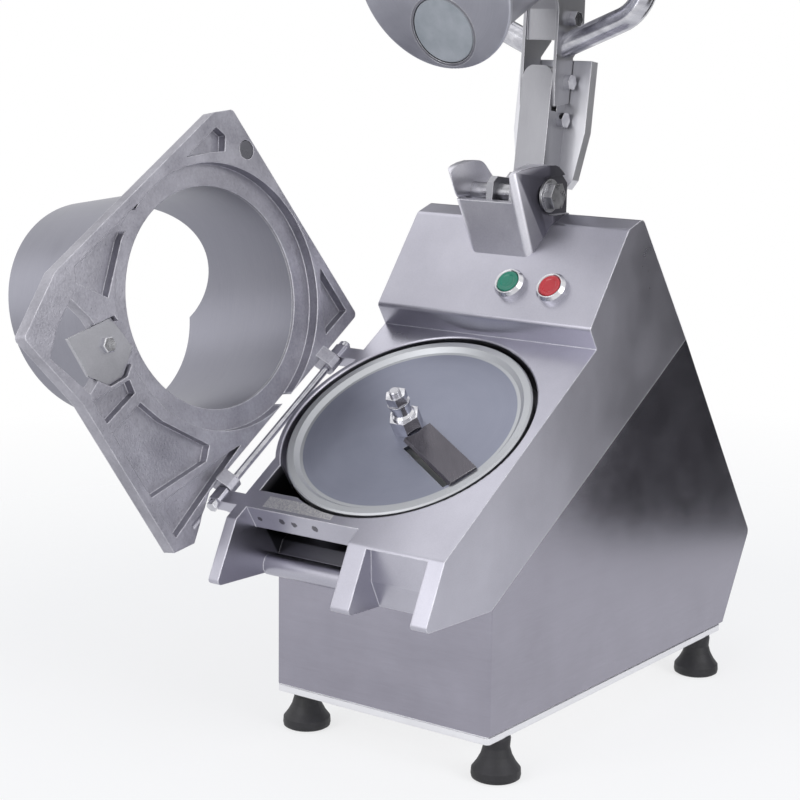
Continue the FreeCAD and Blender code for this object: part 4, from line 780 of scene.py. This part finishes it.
def round_plan(corners, steps=10):
    plan = []
    for i, (x, y, radius) in enumerate(corners):
        here = Vector((x, y))
        before = (Vector(corners[i - 1][:2]) - here).normalized()
        after = (Vector(corners[(i + 1) % len(corners)][:2]) - here).normalized()
        half = before.angle(after) / 2
        centre = here + (before + after).normalized() * radius / math.sin(half)
        start = here + before * radius / math.tan(half) - centre
        sweep = math.copysign(math.pi - 2 * half, -before.cross(after))
        for k in range(steps + 1):
            t = sweep * k / steps
            spot = centre + Vector((start.x * math.cos(t) - start.y * math.sin(t),
                                    start.x * math.sin(t) + start.y * math.cos(t)))
            plan.append((spot.x, spot.y))
    return plan


print("outline helpers", arc.__name__, round_plan.__name__)

# %% Blocks and prisms
def closed_block(name, lower, upper):
    n = len(lower)
    faces = [tuple(range(n)), tuple(range(2 * n - 1, n - 1, -1))]
    faces += [(i, i + n, (i + 1) % n + n, (i + 1) % n) for i in range(n)]
    mesh = bpy.data.meshes.new(name)
    mesh.from_pydata([Vector(v) + pivot for v in lower + upper], [], faces)
    solid = bmesh.new()
    solid.from_mesh(mesh)
    bmesh.ops.recalc_face_normals(solid, faces=solid.faces)
    solid.to_mesh(mesh)
    solid.free()
    block = bpy.data.objects.new(name, mesh)
    bpy.context.scene.collection.objects.link(block)
    print(name, "faces", len(faces))
    return block


def side_prism(name, outline, near, far):
    return closed_block(name, [(near, y, z) for y, z in outline], [(far, y, z) for y, z in outline])


# %% [markdown]
# ## Block and prisms of the saddle
# Each row below is a corner: how far right of the pivot, how far behind it, and how round. The
# foot is small and stands back on the ridge, and the crown is wide and reaches forward, which
# gives the flare. The prisms are drawn from the side and pushed through from left to right.

# %% Tapered block
foot_height = -0.070
crown_height = 0.030
foot_plan = round_plan([(-0.0233, -0.0192, 0.008), (0.0405, -0.0192, 0.009), (0.0530, 0.0050, 0.010),
                        (0.0530, 0.0300, 0.008), (-0.0233, 0.0300, 0.008)])
crown_plan = round_plan([(-0.0466, -0.0428, 0.008), (0.0262, -0.0428, 0.009), (0.0440, -0.0020, 0.010),
                         (0.0440, 0.0340, 0.008), (-0.0466, 0.0340, 0.008)])
saddle = closed_block("flared_saddle", [(x, y, foot_height) for x, y in foot_plan],
                      [(x, y, crown_height) for x, y in crown_plan])

# %% Prisms that cut the block
web_top = -0.0055
slot_floor = -0.0168
scoop_radius = 0.0175
slot = [(-0.07, web_top), (-0.018, web_top), (-0.015, slot_floor), (0.07, slot_floor), (0.07, 0.07),
        (-0.07, 0.07)]
above = [(-0.07, 0.006), (-0.0415, 0.0175), (-0.036, 0.0215), (-0.030, 0.0240), (-0.020, 0.0262),
         (-0.007, 0.0276), (0.008, 0.0270), (0.014, 0.0250), (0.019, 0.0215), (0.032, 0.0095),
         (0.07, -0.02), (0.07, 0.09), (-0.07, 0.09)]
scoop = arc((0, 0), scoop_radius, 90, 270, 24) + [(0.07, -scoop_radius), (0.07, scoop_radius)]
cutters = [side_prism("slot_cut", slot, -0.0385, 0.025),
           side_prism("ear_cut", above, -0.12, 0.12),
           side_prism("scoop_cut", scoop, 0.042, 0.12)]

# %% [markdown]
# ## Cutting and softening the saddle
# The cuts are boolean modifiers and the round edges a bevel modifier, so each can be changed
# without redrawing the rest. Then the result is kept as one plain mesh, and the cutters go.
# The saddle rides on the machine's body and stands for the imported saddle.

# %% Cut, soften and keep
soft_edge = 0.0018
for cutter in cutters:
    step = saddle.modifiers.new(cutter.name, "BOOLEAN")
    step.operation = "DIFFERENCE"
    step.solver = "EXACT"
    step.object = cutter
softened = saddle.modifiers.new("soft_edges", "BEVEL")
softened.width = soft_edge
softened.segments = 3
softened.limit_method = "ANGLE"
softened.angle_limit = math.radians(40)
bpy.context.view_layer.update()
seen_saddle = saddle.evaluated_get(bpy.context.evaluated_depsgraph_get())
finished = bpy.data.meshes.new_from_object(seen_saddle)
saddle.modifiers.clear()
saddle.data = finished
for cutter in cutters:
    bpy.data.objects.remove(cutter)
print("saddle faces", len(finished.polygons))

# %% Smooth, dress and place the saddle
for face in finished.polygons:
    face.use_smooth = True
finished.set_sharp_from_angle(angle=math.radians(32))
finished.materials.clear()
finished.materials.append(saddle_casting)
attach(saddle, "machine")
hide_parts("saddle_bracket")
print(saddle.name, "stands for saddle_bracket")

# %% [markdown]
# ## The disc and what turns with it
# The slicing disc is aluminium with a satin lathe finish, and its bevelled rim is given a lighter tone as a
# painted highlight. Its streaks of light run from the hub to the rim, because fine rings mirror a lamp only
# along one line, so the disc is the one piece that is anisotropic. The shaft and pulleys turn on the same
# lathe recipe, each about its own axis.

# %% Dress the disc and the drive
upright = (-table_tilt, 0, 0)
motor_centre = Vector(joint["motor_spin"]["pos_m"])
wear("cutting_disc", turned_metal("disc_aluminium", tint(138, 141, 156), tint(150, 153, 168),
                                  disc_centre, upright, (0.44, 0.54), anisotropy=0.5, axis=table_normal,
                                  rim=0.0985, rim_highlight_tone=tint(186, 188, 192)))
wear("drive_shaft", turned_metal("shaft_steel", tint(150, 150, 156), tint(190, 190, 196),
                                 disc_centre, upright, (0.18, 0.3)))
wear("driven_pulley", turned_metal("big_pulley_aluminium", tint(160, 160, 166), tint(190, 190, 196),
                                   disc_centre, upright))
wear("motor_pulley", turned_metal("small_pulley_aluminium", tint(160, 160, 166), tint(190, 190, 196),
                                  motor_centre, upright))
wear("motor_shaft", turned_metal("motor_shaft_steel", tint(150, 150, 156), tint(190, 190, 196),
                                 motor_centre, upright))
wear("shaft_bearings", turned_metal("bearing_steel", tint(150, 150, 154), tint(186, 186, 190),
                                    disc_centre, upright))

# %% [markdown]
# ## Blade, hub and ejector
# The blade is dark tool steel, ground along its length, so its lines are turned to lie in the
# table and along the blade. The hub's nuts are the brightest steel on the machine. The
# ejector plate under the disc is a plain white moulding.

# %% Dress the blade, the hub and the ejector
blade_lines = (0.03, 1.0, 1.0)
blade_turn = 0.9
wear("cutting_blade", brushed_steel("blade_steel", tint(80, 78, 84), tint(106, 103, 110), blade_lines,
                                    (-table_tilt, 0, blade_turn), fineness=1600.0, rough=(0.2, 0.34)))
hub_steel = bright_steel("hub_steel", tint(176, 176, 182), tint(226, 226, 230), (0.1, 0.24))
for node in ("hub_nut", "hub_sleeve", "lock_nut"):
    wear(node, hub_steel)
wear("ejector_plate", moulded("ejector_plastic", tint(206, 206, 202), tint(226, 226, 222), (0.4, 0.55)))

# %% [markdown]
# ## Motor, belt and switches
# These sit inside the casing and are seen only from below or when the machine is opened. They
# could stay plain grey, but they are part of the object and get real finishes all the same:
# cast and painted motor, dull belt, black plastic switches.

# %% Dress the hidden drive and the switches
wear("motor_body", moulded("motor_paint", tint(96, 99, 104), tint(118, 121, 126), (0.4, 0.55),
                           grain=500.0, depth=0.0001))
wear("drive_plate", moulded("plate_paint", tint(84, 86, 90), tint(104, 106, 110), (0.45, 0.6),
                            grain=600.0, depth=0.00006))
wear("drive_belt", moulded("belt_rubber", tint(22, 22, 24), tint(40, 40, 42), (0.6, 0.8),
                           grain=900.0, depth=0.0001))
wear("switch_bodies", moulded("switch_plastic", tint(24, 24, 26), tint(40, 40, 43), (0.35, 0.5)))
wear("cable_gland", moulded("gland_plastic", tint(18, 18, 20), tint(34, 34, 36), (0.4, 0.55)))

# %% [markdown]
# ## Push buttons
# The buttons are glossy coloured caps in satin bright bezels: green starts the disc, red
# stops it. Lower roughness alone would make the whole cap glare. A thin clear coat keeps its
# colour soft and adds the sharp little reflections of polished plastic.

# %% Dress the buttons
wear("green_button", moulded("green_cap", tint(0, 112, 88), tint(8, 132, 106), (0.2, 0.32),
                             depth=0.00001, coat=0.3, edge_tone=tint(60, 168, 146)))
wear("red_button", moulded("red_cap", tint(190, 26, 40), tint(208, 44, 56), (0.2, 0.32),
                           depth=0.00001, coat=0.3, edge_tone=tint(232, 110, 120)))
wear("button_bezels", bright_steel("bezel_chrome", tint(196, 196, 200), tint(226, 226, 230), (0.12, 0.22)))

# %% [markdown]
# ## Hopper tube, latch and magnet
# The tube is rolled sheet with a satin finish that runs round it. The latch is a small steel
# plate with one bright screw, and the magnet that tells the switch that the hopper is shut is
# a dark ground disc. The rod that the hopper swings on is polished.

# %% Dress the hopper's small parts
wear("hopper_tube", brushed_steel("tube_satin", tint(134, 134, 144), tint(154, 154, 164), (1.0, 0.03, 0.03),
                                  upright, fineness=2200.0, rough=(0.34, 0.46)))
wear("latch_bracket", brushed_steel("latch_steel", tint(160, 160, 166), tint(190, 190, 196), (0.05, 1, 1)))
wear("latch_screw", hub_steel)
wear("safety_magnet", turned_metal("magnet_steel", tint(92, 92, 98), tint(116, 116, 122),
                                   box_middle("safety_magnet"), (0, -math.pi / 2, 0)))
wear("hinge_rod", bright_steel("rod_steel", tint(176, 176, 182), tint(206, 206, 212), (0.08, 0.18)))

# %% [markdown]
# ## Lever plates and bolts
# The lever is built from flat steel, brushed along its length. It leans back a little, so the lines lean
# with it. The three plates are the same steel, and their different tones are painted light and shade, with
# the back plate painted lightest.

# %% Dress the lever plates
arm_lines = (1.0, 1.0, 0.025)
arm_lean = (math.radians(8), 0, 0)
plate_lit_greys = {"lever_arm": (144, 162), "lever_back_plate": (196, 214), "lever_bracket": (150, 172)}
# Each plate's grey stands for how brightly it is lit: painted light and shade on one steel.
for node, (dark, light) in plate_lit_greys.items():
    wear(node, brushed_steel(node + "_steel", tint(dark, dark, dark + 5), tint(light, light, light + 5),
                             arm_lines, arm_lean, fineness=2200.0))
wear("lever_bolts", hub_steel)
wear("pivot_bolt", plain_steel)

# %% [markdown]
# ## Pushers and handle
# The large pusher is a turned aluminium plate, and the small one that slides through the feed
# tube is pale plastic, dulled by years of vegetables. The tube's lines and the large pusher's
# rings are turned to the way that the small one slides. The handle is a bent polished tube.

# %% Dress the pushers and the handle
pusher_axis = Vector(joint["small_pusher_slide"]["axis"])
along_tube = (-math.atan2(-pusher_axis.y, pusher_axis.z), 0, 0)
wear("feed_tube", brushed_steel("feed_tube_steel", tint(148, 148, 156), tint(170, 170, 178),
                                (0.03, 0.03, 1.0), along_tube, box_middle("small_pusher"), fineness=2000.0))
wear("large_pusher", turned_metal("pusher_aluminium", tint(170, 171, 181), tint(188, 189, 198),
                                  box_middle("large_pusher"), along_tube, (0.32, 0.42), fineness=1200.0))
wear("small_pusher", moulded("pusher_plastic", tint(150, 156, 160), tint(176, 180, 184), (0.35, 0.5),
                             depth=0.00004))
wear("handle_tube", bright_steel("handle_steel", tint(168, 168, 176), tint(206, 206, 212), (0.16, 0.26)))

# %% [markdown]
# ## Colours as written
# Blender's usual view softens bright tones, which suits a landscape but turns white to grey.
# The scene is set to the plain Standard view instead, so that a tone given above comes out as that tone
# under even light.

# %% View
bpy.context.scene.view_settings.view_transform = "Standard"
print("view", bpy.context.scene.view_settings.view_transform)
